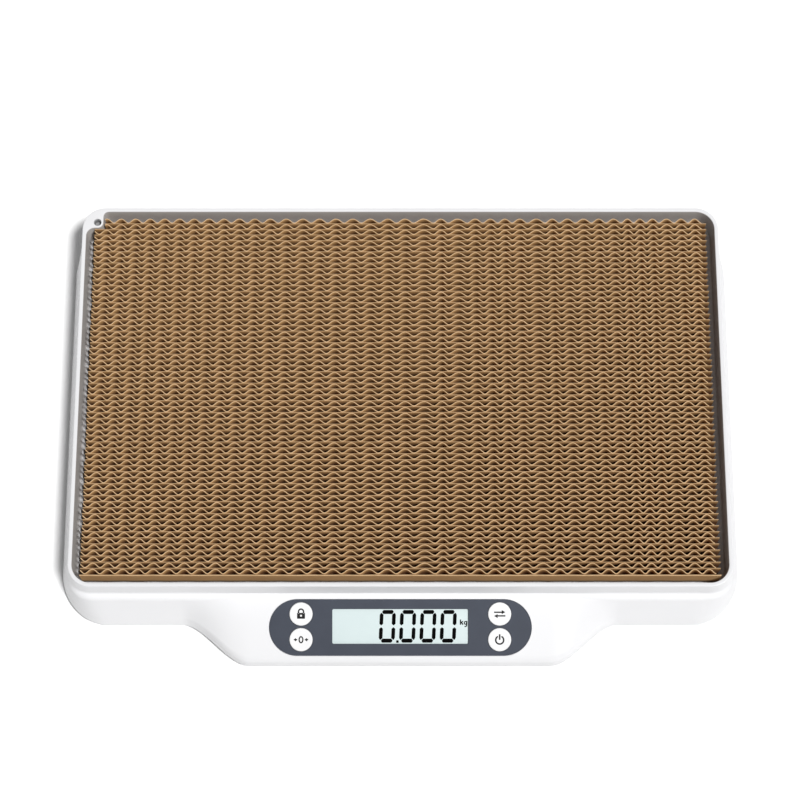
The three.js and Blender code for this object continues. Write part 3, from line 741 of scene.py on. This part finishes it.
def build_shell():
    columns = [shell_ring_points(s) for s in all_stations()]
    n, rows = len(columns), len(columns[0])
    points = [column[k] for k in range(rows) for column in columns]
    # The rows of the tray's inner walls take the tray wall material, whose darker white is painted
    # shade.
    kinds = [int(k in TRAY_WALL_ROWS) for k in range(rows - 1) for _ in range(n)] + [0, 0]
    materials = ["casing", "tray_wall"]
    shell = mesh_object("casing_shell", points, skin(rows, n), materials, indices=kinds)
    add_posts(shell)
    half = PANEL_H / 2 + GAP
    recess = rounded_rect(-PANEL_L / 2 - GAP, PANEL_L / 2 + GAP, -half, half, half - 0.01, 40)
    cutters = [prism("cut_recess", recess, -PANEL_T - GAP, RECESS_TOP, "casing", PANEL)]
    low, high = LCD_V - WINDOW_HALF_H, LCD_V + WINDOW_HALF_H
    window = rounded_rect(-WINDOW_HALF_W, WINDOW_HALF_W, low, high, WINDOW_R, 3)
    cutters.append(prism("cut_window", window, *OPENING_SPAN, "casing", PANEL))
    for name, x, v in KEYS:
        hole = ring(x, v, KEY_R + KEY_HOLE_GAP, 64)
        cutters.append(prism("cut_" + name, hole, *OPENING_SPAN, "casing", PANEL))
    socket = ring(SOCKET_X, SOCKET_Y + TRAY_Y, SOCKET_R, 48)
    cutters.append(prism("cut_socket", socket, RIM_Z - SOCKET_DEPTH, RIM_Z + 2, "casing"))
    cut(shell, cutters)
    shade(shell, CASING_CRISP)
    finish_piece(shell, "scale_body", "casing_white", "top_shell")


def build_socket_sleeve():
    """Grey sleeve lining the round socket, open at the top. Its grey is painted shade, standing in
    for the shade inside the hole.
    """
    low, high, floor = SLEEVE_LOW_Z, SLEEVE_TOP_Z, SLEEVE_FLOOR_Z
    outside = SOCKET_R - SLEEVE_GAP
    inside = outside - SLEEVE_T
    profile = [
        (0, low), (outside - 0.2, low), (outside, low + 0.2), (outside, high - 0.1),
        (outside - 0.1, high), (inside + 0.1, high), (inside, high - 0.1), (inside, floor + 0.2),
        (inside - 0.2, floor), (0, floor),
    ]
    place = at(SOCKET_X, SOCKET_Y, 0)
    sleeve = lathe("socket_shade_sleeve", profile, ["socket"], place, 48)
    finish_piece(sleeve, "scale_body", "black_plastic")


# ---- display panel and keys ----

LCD_CORNER_R = 0.9
FILM_EDGE = 0.08
KEY_FOOT = -4.3
KEY_FLANGE_R = 7.3
KEY_FLANGE_TOP = -3.3
KEY_EDGE_R = 0.45
KEY_DISH = ((0.8, 0.03), (0.5, 0.09), (0, 0.12))
MARK_SINK = 0.115
MARK_T = 0.05
MARK_LINE = 0.9
SHACKLE_LINE = 0.85
DIGITS = 4
DIGIT_X = -12.6
DIGIT_PITCH = 11.75
DIGIT_W = 9.3
DIGIT_H = 18.9
DIGIT_LEAN = 0.045
SEGMENT_T = 2.35
SEGMENT_W = 2.15
POINT_XS = (-2.45, -0.95)
POINT_VS = (-0.1, 1.4)
POINT_R = 0.45
LCD_TOP = -1.1
SEGMENT_SPAN = (LCD_TOP + 0.01, LCD_TOP + 0.05)
UNIT_X = 34.45
UNIT_V = 0.9


def build_overlay():
    half = PANEL_H / 2
    loops = [rounded_rect(-PANEL_L / 2, PANEL_L / 2, -half, half, half - 0.01, 48)]
    low, high = LCD_V - LCD_H / 2, LCD_V + LCD_H / 2
    loops.append(rounded_rect(-LCD_W / 2, LCD_W / 2, low, high, LCD_CORNER_R, 8))
    loops += [ring(x, v, KEY_R + GAP, 72) for _, x, v in KEYS]
    film = flat_shape("panel_film", loops, -PANEL_T, 0.0, "slate", PANEL, FILM_EDGE)
    finish_piece(film, "scale_body", "slate_film", "panel_overlay")


def build_key(name, x, v):
    r, top = KEY_R, KEY_PROUD
    profile = [(0, KEY_FOOT), (KEY_FLANGE_R, KEY_FOOT)]
    profile += [(KEY_FLANGE_R, KEY_FLANGE_TOP), (r, KEY_FLANGE_TOP)]
    profile += arc(r - KEY_EDGE_R, top - KEY_EDGE_R, KEY_EDGE_R, 0, 90, 6)
    profile += [(r * share, top - sink) for share, sink in KEY_DISH]
    place = PANEL @ Matrix.Translation((x, v, 0))
    cap = lathe("key_cap_" + name, profile, ["keys"], place, 72)
    finish_piece(cap, "key_" + name, "key_white", "button_" + name)


def stroke(points, width):
    """Outline of a line of constant width with round ends."""
    half = width / 2
    left, right = [], []
    for i, p in enumerate(points):
        a, b = points[max(0, i - 1)], points[min(len(points) - 1, i + 1)]
        d = math.atan2(b[1] - a[1], b[0] - a[0])
        left.append((p[0] - half * math.sin(d), p[1] + half * math.cos(d)))
        right.append((p[0] + half * math.sin(d), p[1] - half * math.cos(d)))
    first = math.degrees(math.atan2(points[1][1] - points[0][1], points[1][0] - points[0][0]))
    last = math.degrees(math.atan2(points[-1][1] - points[-2][1], points[-1][0] - points[-2][0]))
    cap_end = arc(*points[-1], half, last + 90, last - 90, 6)[1:-1]
    cap_start = arc(*points[0], half, first - 90, first - 270, 6)[1:-1]
    return left + cap_end + right[::-1] + cap_start


def icon_loops(name):
    """Generic symbols: padlock, zero between arrows, exchange arrows, and power."""
    if name == "hold":
        body = rounded_rect(-2.3, 2.3, -2.7, 0.7, 0.4, 4)
        shackle = [(-1.45, 0.75), *arc(0, 1.4, 1.45, 180, 0, 14), (1.45, 0.75)]
        return [body, ring(0, -0.95, 0.6, 16), stroke(shackle, SHACKLE_LINE)]
    if name == "tare":
        outside = oval(0, 0, 1.45, 2.1, 0, 360, 28)[:-1]
        inside = oval(0, 0, 0.7, 1.3, 0, 360, 28)[:-1]
        left = [
            (-5.1, 0.36), (-3.5, 0.36), (-3.5, 1.05), (-2.0, 0), (-3.5, -1.05), (-3.5, -0.36),
            (-5.1, -0.36),
        ]
        return [outside, inside, left, [(-x, y) for x, y in left]]
    if name == "unit":
        top = [
            (-3.3, 0.65), (1.2, 0.65), (1.2, 0.0), (3.3, 1.1), (1.2, 2.3), (1.2, 1.45), (-3.3, 1.45),
        ]
        return [top, [(-x, -y) for x, y in top]]
    circle = arc(0, -0.2, 2.3, 125, 415, 36)
    return [stroke(circle, MARK_LINE), stroke([(0, 0.3), (0, 2.8)], MARK_LINE)]


def build_icon(name, x, v):
    height = KEY_PROUD - MARK_SINK
    place = PANEL @ Matrix.Translation((x, v, 0))
    loops = icon_loops(name)
    icon = flat_shape("key_mark_" + name, loops, height, height + MARK_T, "print", place)
    finish_piece(icon, "key_" + name, "black_plastic")


def segment_loops(x, y):
    """The six lit bars of a zero, slightly slanted, with its lower left corner at x, y."""
    w, h, t = DIGIT_W, DIGIT_H, SEGMENT_T
    across = [
        (1.25, h - 1.05), (2.05, h), (w - 2.05, h), (w - 1.25, h - 1.05), (w - 2.0, h - t),
        (2.0, h - t),
    ]
    upper = [
        (0, h - 2.8), (0.65, h - 1.7), (1.05, h - 1.7), (SEGMENT_W, h - 2.75),
        (SEGMENT_W, h / 2 + 1.4), (SEGMENT_W / 2, h / 2 + 0.5), (0, h / 2 + 1.4),
    ]
    bars = [across, upper, [(w - a, b) for a, b in upper]]
    bars += [[(a, h - b) for a, b in bar] for bar in bars]
    return [[(x + a + DIGIT_LEAN * b, y + b) for a, b in bar] for bar in bars]


def unit_loops():
    """The unit, kg: the k in one outline, the g in one with a hole."""
    k = [
        (0, 0), (0.7, 0), (0.7, 0.65), (0.92, 0.9), (1.3, 0), (2.1, 0), (1.42, 1.4), (2.05, 2.2),
        (1.2, 2.2), (0.7, 1.5), (0.7, 3.0), (0, 3.0),
    ]
    g = [(2.05, 2.2), (1.4, 2.2), *oval(0.88, 1.1, 0.88, 1.1, 50, 310, 20)]
    g += arc(0.83, -0.1, 0.57, 0, -110, 8) + arc(0.83, -0.1, 1.22, -118, 0, 10)
    hole = oval(0.98, 1.1, 0.36, 0.55, 0, 360, 20)[:-1]
    g_start = 2.25
    return [k] + [[(x + g_start, y) for x, y in loop] for loop in (g, hole)]


def build_display():
    base = LCD_V - DIGIT_H / 2
    loops = []
    for i in range(DIGITS):
        loops += segment_loops(DIGIT_X + DIGIT_PITCH * i, base)
    loops.append(rounded_rect(*POINT_XS, *[base + v for v in POINT_VS], POINT_R, 4))
    unit = [[(UNIT_X + x, LCD_V + UNIT_V + y) for x, y in loop] for loop in unit_loops()]
    for name, outlines in (("display_digits", loops), ("display_unit", unit)):
        piece = flat_shape(name, outlines, *SEGMENT_SPAN, "segment", PANEL)
        finish_piece(piece, "scale_body", "black_plastic")


# ---- scratch board ----

TROUGH_SEED = 7
BOARD_SEED = 21
FACING_SEED = 5
ROWS = 61
GROUPS = 3
WAVES = 39
EVEN_WAVES = 20
WAVE_SWELL = 0.10
SWELL_STEP = 0.17
SWELL_START = -1.75
EVEN_SPREAD = 0.04
LOOSE_SPREAD = 0.17
DRIFT_WIDE = 1.7
DRIFT_SKEW = 0.6
WAVE_T = 0.46
WAVE_FULLNESS = 0.16
LAST_RISE = 0.9
LINER_T = 0.24
LINER_STEPS = 60
LINER_LIFT = 1.2
CREST_GAP = 0.3
PER_WAVE = 16
FIRST_TROUGH = 3.1
LAST_TROUGH = 3.0
FLOOR_GAP = 0.3
NOTCH_GAP_X = 0.5
NOTCH_GAP_Y = 1.4
NOTCH_LAP = 1.8
END_SCATTER = 0.5
TOP_POINTS = 29
WAVE_SCATTER = (0.0, 0.18)
LINER_SCATTER = (0.1, 0.4)
CRUSHED_REACH = (0.9, 1.4)
CRUSHED_DROP = 3.0
CRUSHED_T = 1.7
FACING_T = 0.5
FACING_Y = PAD_Y_FRONT - 0.3 - FACING_T / 2
FACING_STEPS = 180
FACING_TOP_POINTS = 57
FACING_SCATTER = (0.0, 0.15)
FACING_WAVE = 0.05
FACING_WAVE_STEP = 0.7


def trough_positions():
    """Where the flutes touch the front liner, across the board: uneven steps, alike in every row."""
    draw = random.Random(TROUGH_SEED)
    widths = []
    for k in range(WAVES):
        slow = 1 + WAVE_SWELL * math.sin(SWELL_STEP * k + SWELL_START)
        loose = EVEN_SPREAD if k < EVEN_WAVES else LOOSE_SPREAD
        widths.append(slow * (1 + draw.uniform(-loose, loose)))
    total = sum(widths)
    first, last = FIRST_TROUGH - PAD_HALF_X, PAD_HALF_X - LAST_TROUGH
    places, share = [first], 0.0
    for w in widths:
        share += w / total
        drift = DRIFT_WIDE * math.sin(math.pi * share) + DRIFT_SKEW * math.sin(2 * math.pi * share)
        places.append(first + (last - first) * share + drift)
    return places


def wave_line(places, y0, y1):
    """A flute's centre line between the liners at y0 and y1: broad crests and narrow troughs."""
    low = y0 + (LINER_T + WAVE_T) / 2
    high = y1 - (LINER_T + WAVE_T) / 2 - CREST_GAP
    middle, half = (low + high) / 2, (high - low) / 2
    before = (2 * places[0] - places[1], places[0])
    line = []
    for a, b in (before, *zip(places, places[1:])):
        for i in range(PER_WAVE):
            t = i / PER_WAVE
            c = -math.cos(2 * math.pi * t)
            c += WAVE_FULLNESS * (1 - c * c)
            line.append((a + (b - a) * t, middle + half * c))
    line += [(places[-1], middle - half), (PAD_HALF_X, middle - half * LAST_RISE)]
    return line


def strip(line, thickness, z0, tops, points, faces, kinds, end_reach=0.0):
    """Adds a sheet standing on edge along the line: its two faces, its cut edges and its ends.

    end_reach is how far its crushed left end stands out beyond the line. That end is thick and a
    little lower, and its first step is coloured near-black as painted shade for the open flute ends.
    """
    if end_reach:
        line = [(line[0][0] - end_reach, line[0][1])] + line
    offset = len(points)
    n = len(line)
    for i, p in enumerate(line):
        a, b = line[max(0, i - 1)], line[min(n - 1, i + 1)]
        d = math.atan2(b[1] - a[1], b[0] - a[0])
        crushed = end_reach and i == 0
        half = (CRUSHED_T if crushed else thickness) / 2
        nx, ny = -half * math.sin(d), half * math.cos(d)
        top = tops[i % len(tops)] - (CRUSHED_DROP if crushed else 0)
        for side, z in ((1, top), (-1, top), (-1, z0), (1, z0)):
            points.append((p[0] + side * nx, p[1] + side * ny + TRAY_Y, z))
    for i in range(n - 1):
        a, b = offset + 4 * i, offset + 4 * (i + 1)
        for k, kind in ((0, 1), (1, 0), (2, 0), (3, 0)):
            m = (k + 1) % 4
            faces.append((a + k, a + m, b + m, b + k))
            # The first step of a protruding end takes the near-black painted shade.
            kinds.append(2 if end_reach and i == 0 else kind)
    last = offset + 4 * (n - 1)
    faces.append((offset, offset + 3, offset + 2, offset + 1))
    faces.append((last, last + 1, last + 2, last + 3))
    kinds += [0, 0]


def uneven_tops(draw, count, scatter):
    return [PAD_TOP_Z - draw.uniform(*scatter) for _ in range(count)]


def build_board():
    """Rows of corrugated strip on edge, each with the liner in front of it, cut short at the boss."""
    draw = random.Random(BOARD_SEED)
    places = trough_positions()
    pitch = (PAD_Y_REAR - PAD_Y_FRONT) / ROWS
    notch_x = SOCKET_X + SOCKET_BOSS_R + NOTCH_GAP_X
    notch_y = SOCKET_Y - SOCKET_BOSS_R - NOTCH_GAP_Y
    z0 = FLOOR_Z + FLOOR_GAP
    groups = [([], [], []) for _ in range(GROUPS)]
    for row in range(ROWS):
        group = groups[row * GROUPS // ROWS]
        y0 = PAD_Y_FRONT + pitch * row
        y1 = y0 + pitch
        notched = y1 > notch_y + NOTCH_LAP
        left = (notch_x if notched else -PAD_HALF_X) + draw.uniform(0.0, END_SCATTER)
        right = PAD_HALF_X - draw.uniform(0.0, END_SCATTER)
        tops = uneven_tops(draw, TOP_POINTS, WAVE_SCATTER)
        wave = [p for p in wave_line(places, y0, y1) if left <= p[0] <= right]
        reach = 0.0 if notched else draw.uniform(*CRUSHED_REACH)
        strip(wave, WAVE_T, z0, tops, *group, reach)
        if row:
            edge = notch_x if y0 > notch_y + NOTCH_LAP else -PAD_HALF_X
            inset = edge + draw.uniform(0.0, END_SCATTER)
            foot = z0 + (LINER_LIFT if notched else 0.0)
            liner = [(inset + (right - inset) * i / LINER_STEPS, y0) for i in range(LINER_STEPS + 1)]
            tops = uneven_tops(draw, TOP_POINTS, LINER_SCATTER)
            strip(liner, LINER_T, foot, tops, *group)
    materials = ["kraft", "kraft_edge", "painted_end_shade"]
    for i, (points, faces, kinds) in enumerate(groups):
        part = mesh_object(f"board_flutes_{i + 1}", points, faces, materials, indices=kinds)
        shade(part, CARD_CRISP)
        finish_piece(part, "scratch_board", "kraft_board")
        if i == 0:
            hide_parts("scratch_core")


def build_board_liner():
    """Facing strip on the front of the stack: nearly flat, with a slightly uneven top edge."""
    draw = random.Random(FACING_SEED)
    points, faces, kinds = [], [], []
    line = []
    for i in range(FACING_STEPS + 1):
        x = -PAD_HALF_X + 2 * PAD_HALF_X * i / FACING_STEPS
        line.append((x, FACING_Y + FACING_WAVE * math.sin(i * FACING_WAVE_STEP)))
    tops = uneven_tops(draw, FACING_TOP_POINTS, FACING_SCATTER)
    strip(line, FACING_T, FLOOR_Z + FLOOR_GAP, tops, points, faces, kinds)
    face = mesh_object("board_facing", points, faces, ["kraft_face", "kraft_edge"], indices=kinds)
    finish_piece(face, "scratch_board", "kraft_board", "scratch_liner")


# ---- underside ----

FOOT_X = 158.0
FOOT_Y = 82.0
FOOT_R = 14.0
FOOT_T = 3.0
RIDGE_RADII = (1.9, 4.9, 7.9, 10.9)
RIDGE_W = 1.2
GROOVE_DEPTH = 0.5
RIDGE_SLOPE = 0.3
RIDGE_EDGE = 0.25
RIDGE_EDGE_Z = 0.08
SCREW_R = 3.2
SCREW_L = 11.0
SCREW_HEAD_T = 1.0
SHANK_R = 1.3
THREAD_START = 1.4
THREAD_PITCH = 1.0
THREAD_DEPTH = 0.35
CROSS_ARM = 1.75
CROSS_HALF_W = 0.36
CROSS_DEPTH = 0.75
FIRST_TURN = 0.4
NEXT_TURN = 0.9
SCREW_PROUD = 0.1
BATTERY_X = 60.0
BATTERY_Y0 = 8.0
BATTERY_OPEN_Y = 26.0
BATTERY_HALF_X = 25.8
HINGE_Y = BATTERY_Y0 + 1.2
HINGE_Z = BASE_Z + 0.9
HINGE_R = 0.9
DOOR_T = 1.8
TAB_XS = (-16, 16)
TAB_HALF_W = 3
GRIP_Y = BATTERY_Y0 + BATTERY_OPEN_Y - GAP - 5.2
GRIP_HALF_X = 9.5
GRIP_HALF_Y = 3.2
GRIP_R = 3.1
GRIP_SLOPE = 0.8
GRIP_LEAD = 0.4
GRIP_DEPTH = 0.75
ARROW_DEPTH = 0.3
RIB_XS = (-6, -3, 0, 3, 6)
RIB_HALF_X = 0.4
RIB_HALF_Y = 2.0
RIB_R = 0.35
RIB_SPAN = (0.12, 1.0)
CELL_Z = 10.85
CELL_R = 5.25
CELL_L = 43.5
CELL_START = -19.8
CELL_YS = (BATTERY_Y0 + 7.6, BATTERY_Y0 + 18.8)
# Carries an outline of (y, z) pairs, drawn out along x, to metres in the row frame.
ALONG_X = Matrix(((0, 0, MM, 0), (MM, 0, 0, TRAY_Y * MM), (0, MM, 0, 0), (0, 0, 0, 1)))


def build_foot_pad(name, x, y):
    """Soft round foot with ring ridges on its sole and a rounded rim."""
    profile = [(0, GROOVE_DEPTH)]
    for r in RIDGE_RADII:
        end = r + RIDGE_W
        profile += [(r - RIDGE_SLOPE, GROOVE_DEPTH), (r, RIDGE_EDGE_Z), (r + RIDGE_EDGE, 0)]
        profile += [(end - RIDGE_EDGE, 0), (end, RIDGE_EDGE_Z), (end + RIDGE_SLOPE, GROOVE_DEPTH)]
    profile += [
        (FOOT_R - 0.9, GROOVE_DEPTH), (FOOT_R - 0.35, 0.75), (FOOT_R - 0.05, 1.25), (FOOT_R, 1.7),
        (FOOT_R, FOOT_T - 0.3), (FOOT_R - 0.3, FOOT_T), (0, FOOT_T),
    ]
    pad = lathe("foot_sole_" + name, profile, ["rubber"], at(x, y, 0), 72)
    finish_piece(pad, "scale_body", "foot_rubber", "foot_pad_" + name)


def build_cover_screw(number, x, y):
    """Pan-head screw with a cross recess and a coarse thread."""
    root = SHANK_R - THREAD_DEPTH
    profile = [
        (0, 0), (1.6, 0.02), (2.5, 0.14), (3.0, 0.36), (SCREW_R, 0.7), (SCREW_R, 0.95),
        (SCREW_R - 0.05, SCREW_HEAD_T), (SHANK_R - 0.3, SCREW_HEAD_T),
    ]
    z = THREAD_START
    while z < SCREW_L - THREAD_START:
        profile += [(root, z), (SHANK_R, z + 0.35), (SHANK_R, z + 0.5), (root, z + 0.85)]
        z += THREAD_PITCH
    profile += [(SHANK_R - 0.4, SCREW_L - 0.5), (0.25, SCREW_L), (0, SCREW_L)]
    place = at(x, y, BASE_Z - SCREW_PROUD)
    fixing = lathe(f"cover_screw_head_{number}", profile, ["steel"], place, 40)
    arm, half = CROSS_ARM, CROSS_HALF_W
    cross = [(arm, half), (half, half), (half, arm), (-half, arm), (-half, half), (-arm, half)]
    cross += [(-x, -y) for x, y in cross]
    turned = place @ Matrix.Rotation(FIRST_TURN + NEXT_TURN * number, 4, "Z")
    cut(fixing, [prism("cut_cross", cross, -1, CROSS_DEPTH, "steel", turned)])
    shade(fixing, CRISP)
    finish_piece(fixing, "scale_body", "screw_steel", f"cover_screw_{number}")


def grip_cutter(place):
    """The thumb grip's hollow: a rounded opening that narrows towards its floor."""
    x, y, slope = GRIP_HALF_X, GRIP_HALF_Y, GRIP_SLOPE
    outer = rounded_rect(-x, x, GRIP_Y - y, GRIP_Y + y, GRIP_R, 10)
    x, y = x - slope, y - slope
    inner = rounded_rect(-x, x, GRIP_Y - y, GRIP_Y + y, GRIP_R - slope, 10)
    levels = ((outer, -GRIP_LEAD), (outer, 0.0), (inner, GRIP_DEPTH))
    points = [(*p, z) for outline, z in levels for p in outline]
    return mesh_object("cut_grip", points, skin(3, len(outer)), ["casing"], place)


def build_battery_door():
    """Hatch with a rounded hinge edge, two tabs, a scooped thumb grip with ribs, and an arrow."""
    rear, low, high = BATTERY_Y0 + BATTERY_OPEN_Y - GAP, BASE_Z, BASE_Z + DOOR_T
    profile = arc(HINGE_Y, HINGE_Z, HINGE_R, 90, 270, 16)
    profile += [(rear - 0.35, low), (rear - 0.1, low + 0.1), (rear, low + 0.35), (rear, high)]
    half = BATTERY_HALF_X - GAP
    door = prism("battery_hatch", profile, BATTERY_X - half, BATTERY_X + half, "casing", ALONG_X)
    tab = [
        (HINGE_Y, low + 1.5), (HINGE_Y + 1.4, low + 1.5), (HINGE_Y + 1.4, low + 3.1),
        (BATTERY_Y0 - 1.9, low + 3.1), (BATTERY_Y0 - 2.2, low + 2.8), (BATTERY_Y0 - 2.2, low + 2.4),
        (HINGE_Y, low + 2.4),
    ]
    tabs = []
    for side in TAB_XS:
        middle = BATTERY_X + side
        tabs.append(prism("tab", tab, middle - TAB_HALF_W, middle + TAB_HALF_W, "casing", ALONG_X))
    combine(door, tabs, "UNION")
    place = at(BATTERY_X, 0, low)
    arrow = [(-3.2, GRIP_Y - 8.2), (3.2, GRIP_Y - 8.2), (0, GRIP_Y - 5.0)]
    cut(door, [grip_cutter(place), prism("cut_arrow", arrow, -0.5, ARROW_DEPTH, "casing", place)])
    ribs = []
    y0, y1 = GRIP_Y - RIB_HALF_Y, GRIP_Y + RIB_HALF_Y
    for x in RIB_XS:
        bar = rounded_rect(x - RIB_HALF_X, x + RIB_HALF_X, y0, y1, RIB_R, 4)
        ribs.append(prism("rib", bar, *RIB_SPAN, "casing", place))
    combine(door, ribs, "UNION")
    shade(door, DOOR_CRISP)
    finish_piece(door, "battery_door", "casing_white", "battery_door")


def build_battery(number, y, turn):
    """Cell with a printed sleeve, a bare flat end and a raised contact at the other end."""
    steel, wrap, mark, wrap_end = range(4)
    a, b, r = CELL_START, CELL_START + CELL_L, CELL_R
    steps = [
        ((3.0, a + 0.25), steel), ((3.3, a + 0.05), steel), ((4.3, a + 0.05), steel),
        ((4.5, a), steel), ((5.0, a), wrap), ((r, a + 0.25), wrap), ((r, b - 12), wrap),
        ((r, b - 11.6), mark), ((r, b - 0.3), wrap_end), ((5.0, b), wrap_end), ((4.6, b), wrap),
        ((4.3, b - 0.2), wrap), ((2.2, b - 0.2), steel), ((1.9, b), steel), ((1.9, b + 0.75), steel),
        ((1.65, b + 1.0), steel), ((0, b + 1.0), steel),
    ]
    profile = [(0, a + 0.25)] + [point for point, _ in steps]
    kinds = [kind for _, kind in steps]
    place = at(BATTERY_X, y, CELL_Z) @ Matrix.Rotation(turn * math.pi / 2, 4, "Y")
    materials = ["steel", "wrap", "print", "wrap_end"]
    cell = lathe(f"battery_cell_{number}", profile, materials, place, 56, kinds)
    finish_piece(cell, "scale_body", "battery_wrap", f"battery_{number}")


def build_underside():
    for side_x, side_y, name in ((-1, -1, "fl"), (1, -1, "fr"), (-1, 1, "rl"), (1, 1, "rr")):
        build_foot_pad(name, side_x * FOOT_X, side_y * FOOT_Y)
    for i, (x, y) in enumerate(post_places()):
        build_cover_screw(i + 1, x, y)
    build_battery_door()
    build_battery(1, CELL_YS[0], 1)
    build_battery(2, CELL_YS[1], -1)


# ---- CAD nodes that stay, with finished materials ----

FINISHES = (
    ("casing", ("bottom_cover", "foot_cup", "lcd_holder")),
    ("lcd", ("lcd_glass", "lcd_reflector")),
    ("black", ("lcd_connector", "plunger", "controller_chip", "cell_bracket")),
    ("steel", ("switch", "load_cell", "contact", "board_screw")),
    ("board", ("main_board",)),
    ("wire", ("battery_lead", "cell_lead")),
)


def finish_nodes():
    for name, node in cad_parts.items():
        for material, starts in FINISHES:
            if name.startswith(starts):
                node.material_slots[0].material = MATERIALS[material]


# ---- stage ----

FLOOR_REACH = 40.0
FLOOR_DROP = 0.0002
FLOOR_WHITE = (0.97, 0.97, 0.97, 1)
FLOOR_ROUGHNESS = 0.9
LAMP_DISTANCE = 3.0
KEY_AZIMUTH = math.radians(-35.0)
KEY_ELEVATION = math.radians(67.8)
KEY_SPREAD = math.radians(10.5)
KEY_SHARE = 0.97
FILL_AZIMUTH = math.radians(-90.0)
FILL_ELEVATION = math.radians(35.0)
FILL_SPREAD = math.radians(30.0)
FILL_SHARE = 0.045
SKY_SHARE = 0.18
CAMERA_ELEVATION = math.radians(72.0)
CAMERA_PLACE = (-0.0002, -0.4103, 1.3461)
CAMERA_LENS = 105.3
CAMERA_SENSOR = 36.0


def build_floor():
    """A wide white floor just below the feet."""
    r, z = FLOOR_REACH, -FLOOR_DROP
    corners = [(-r, -r, z), (r, -r, z), (r, r, z), (-r, r, z)]
    mesh = bpy.data.meshes.new("stage_floor")
    mesh.from_pydata(corners, [], [(0, 1, 2, 3)])
    material, _, shader, _ = new_material("stage_white")
    shader.inputs["Base Color"].default_value = FLOOR_WHITE
    shader.inputs["Roughness"].default_value = FLOOR_ROUGHNESS
    mesh.materials.append(material)
    add_object("stage_floor", mesh)


def lamp(name, azimuth, elevation, spread_angle, share):
    """A distant soft lamp aimed at the middle. share is how bright it makes a level white surface."""
    flat = math.cos(elevation)
    way = Vector((flat * math.cos(azimuth), flat * math.sin(azimuth), math.sin(elevation)))
    light = bpy.data.lights.new(name, "SUN")
    light.angle = spread_angle
    light.energy = share * math.pi / way.z
    obj = add_object(name, light)
    obj.location = way * LAMP_DISTANCE
    obj.rotation_euler = (-way).to_track_quat("-Z", "Y").to_euler()


def build_light():
    """A soft lamp high up on the front right, a weak one from the front, and an even surround."""
    world = bpy.data.worlds.new("studio")
    world.use_nodes = True
    world.node_tree.nodes["Background"].inputs["Color"].default_value = (1, 1, 1, 1)
    world.node_tree.nodes["Background"].inputs["Strength"].default_value = SKY_SHARE
    scene = bpy.context.scene
    scene.world = world
    lamp("key_light", KEY_AZIMUTH, KEY_ELEVATION, KEY_SPREAD, KEY_SHARE)
    lamp("fill_light", FILL_AZIMUTH, FILL_ELEVATION, FILL_SPREAD, FILL_SHARE)
    scene.view_settings.view_transform = "Standard"
    scene.view_settings.look = "None"


def build_camera():
    camera = bpy.data.cameras.new("camera")
    camera.lens = CAMERA_LENS
    camera.sensor_width = CAMERA_SENSOR
    obj = add_object("camera", camera)
    obj.location = CAMERA_PLACE
    obj.rotation_euler = (math.pi / 2 - CAMERA_ELEVATION, 0, 0)
    bpy.context.scene.camera = obj


build_camera()
build_shell()
build_socket_sleeve()
build_overlay()
for key in KEYS:
    build_key(*key)
    build_icon(*key)
build_display()
build_board()
build_board_liner()
build_underside()
finish_nodes()
build_floor()
build_light()
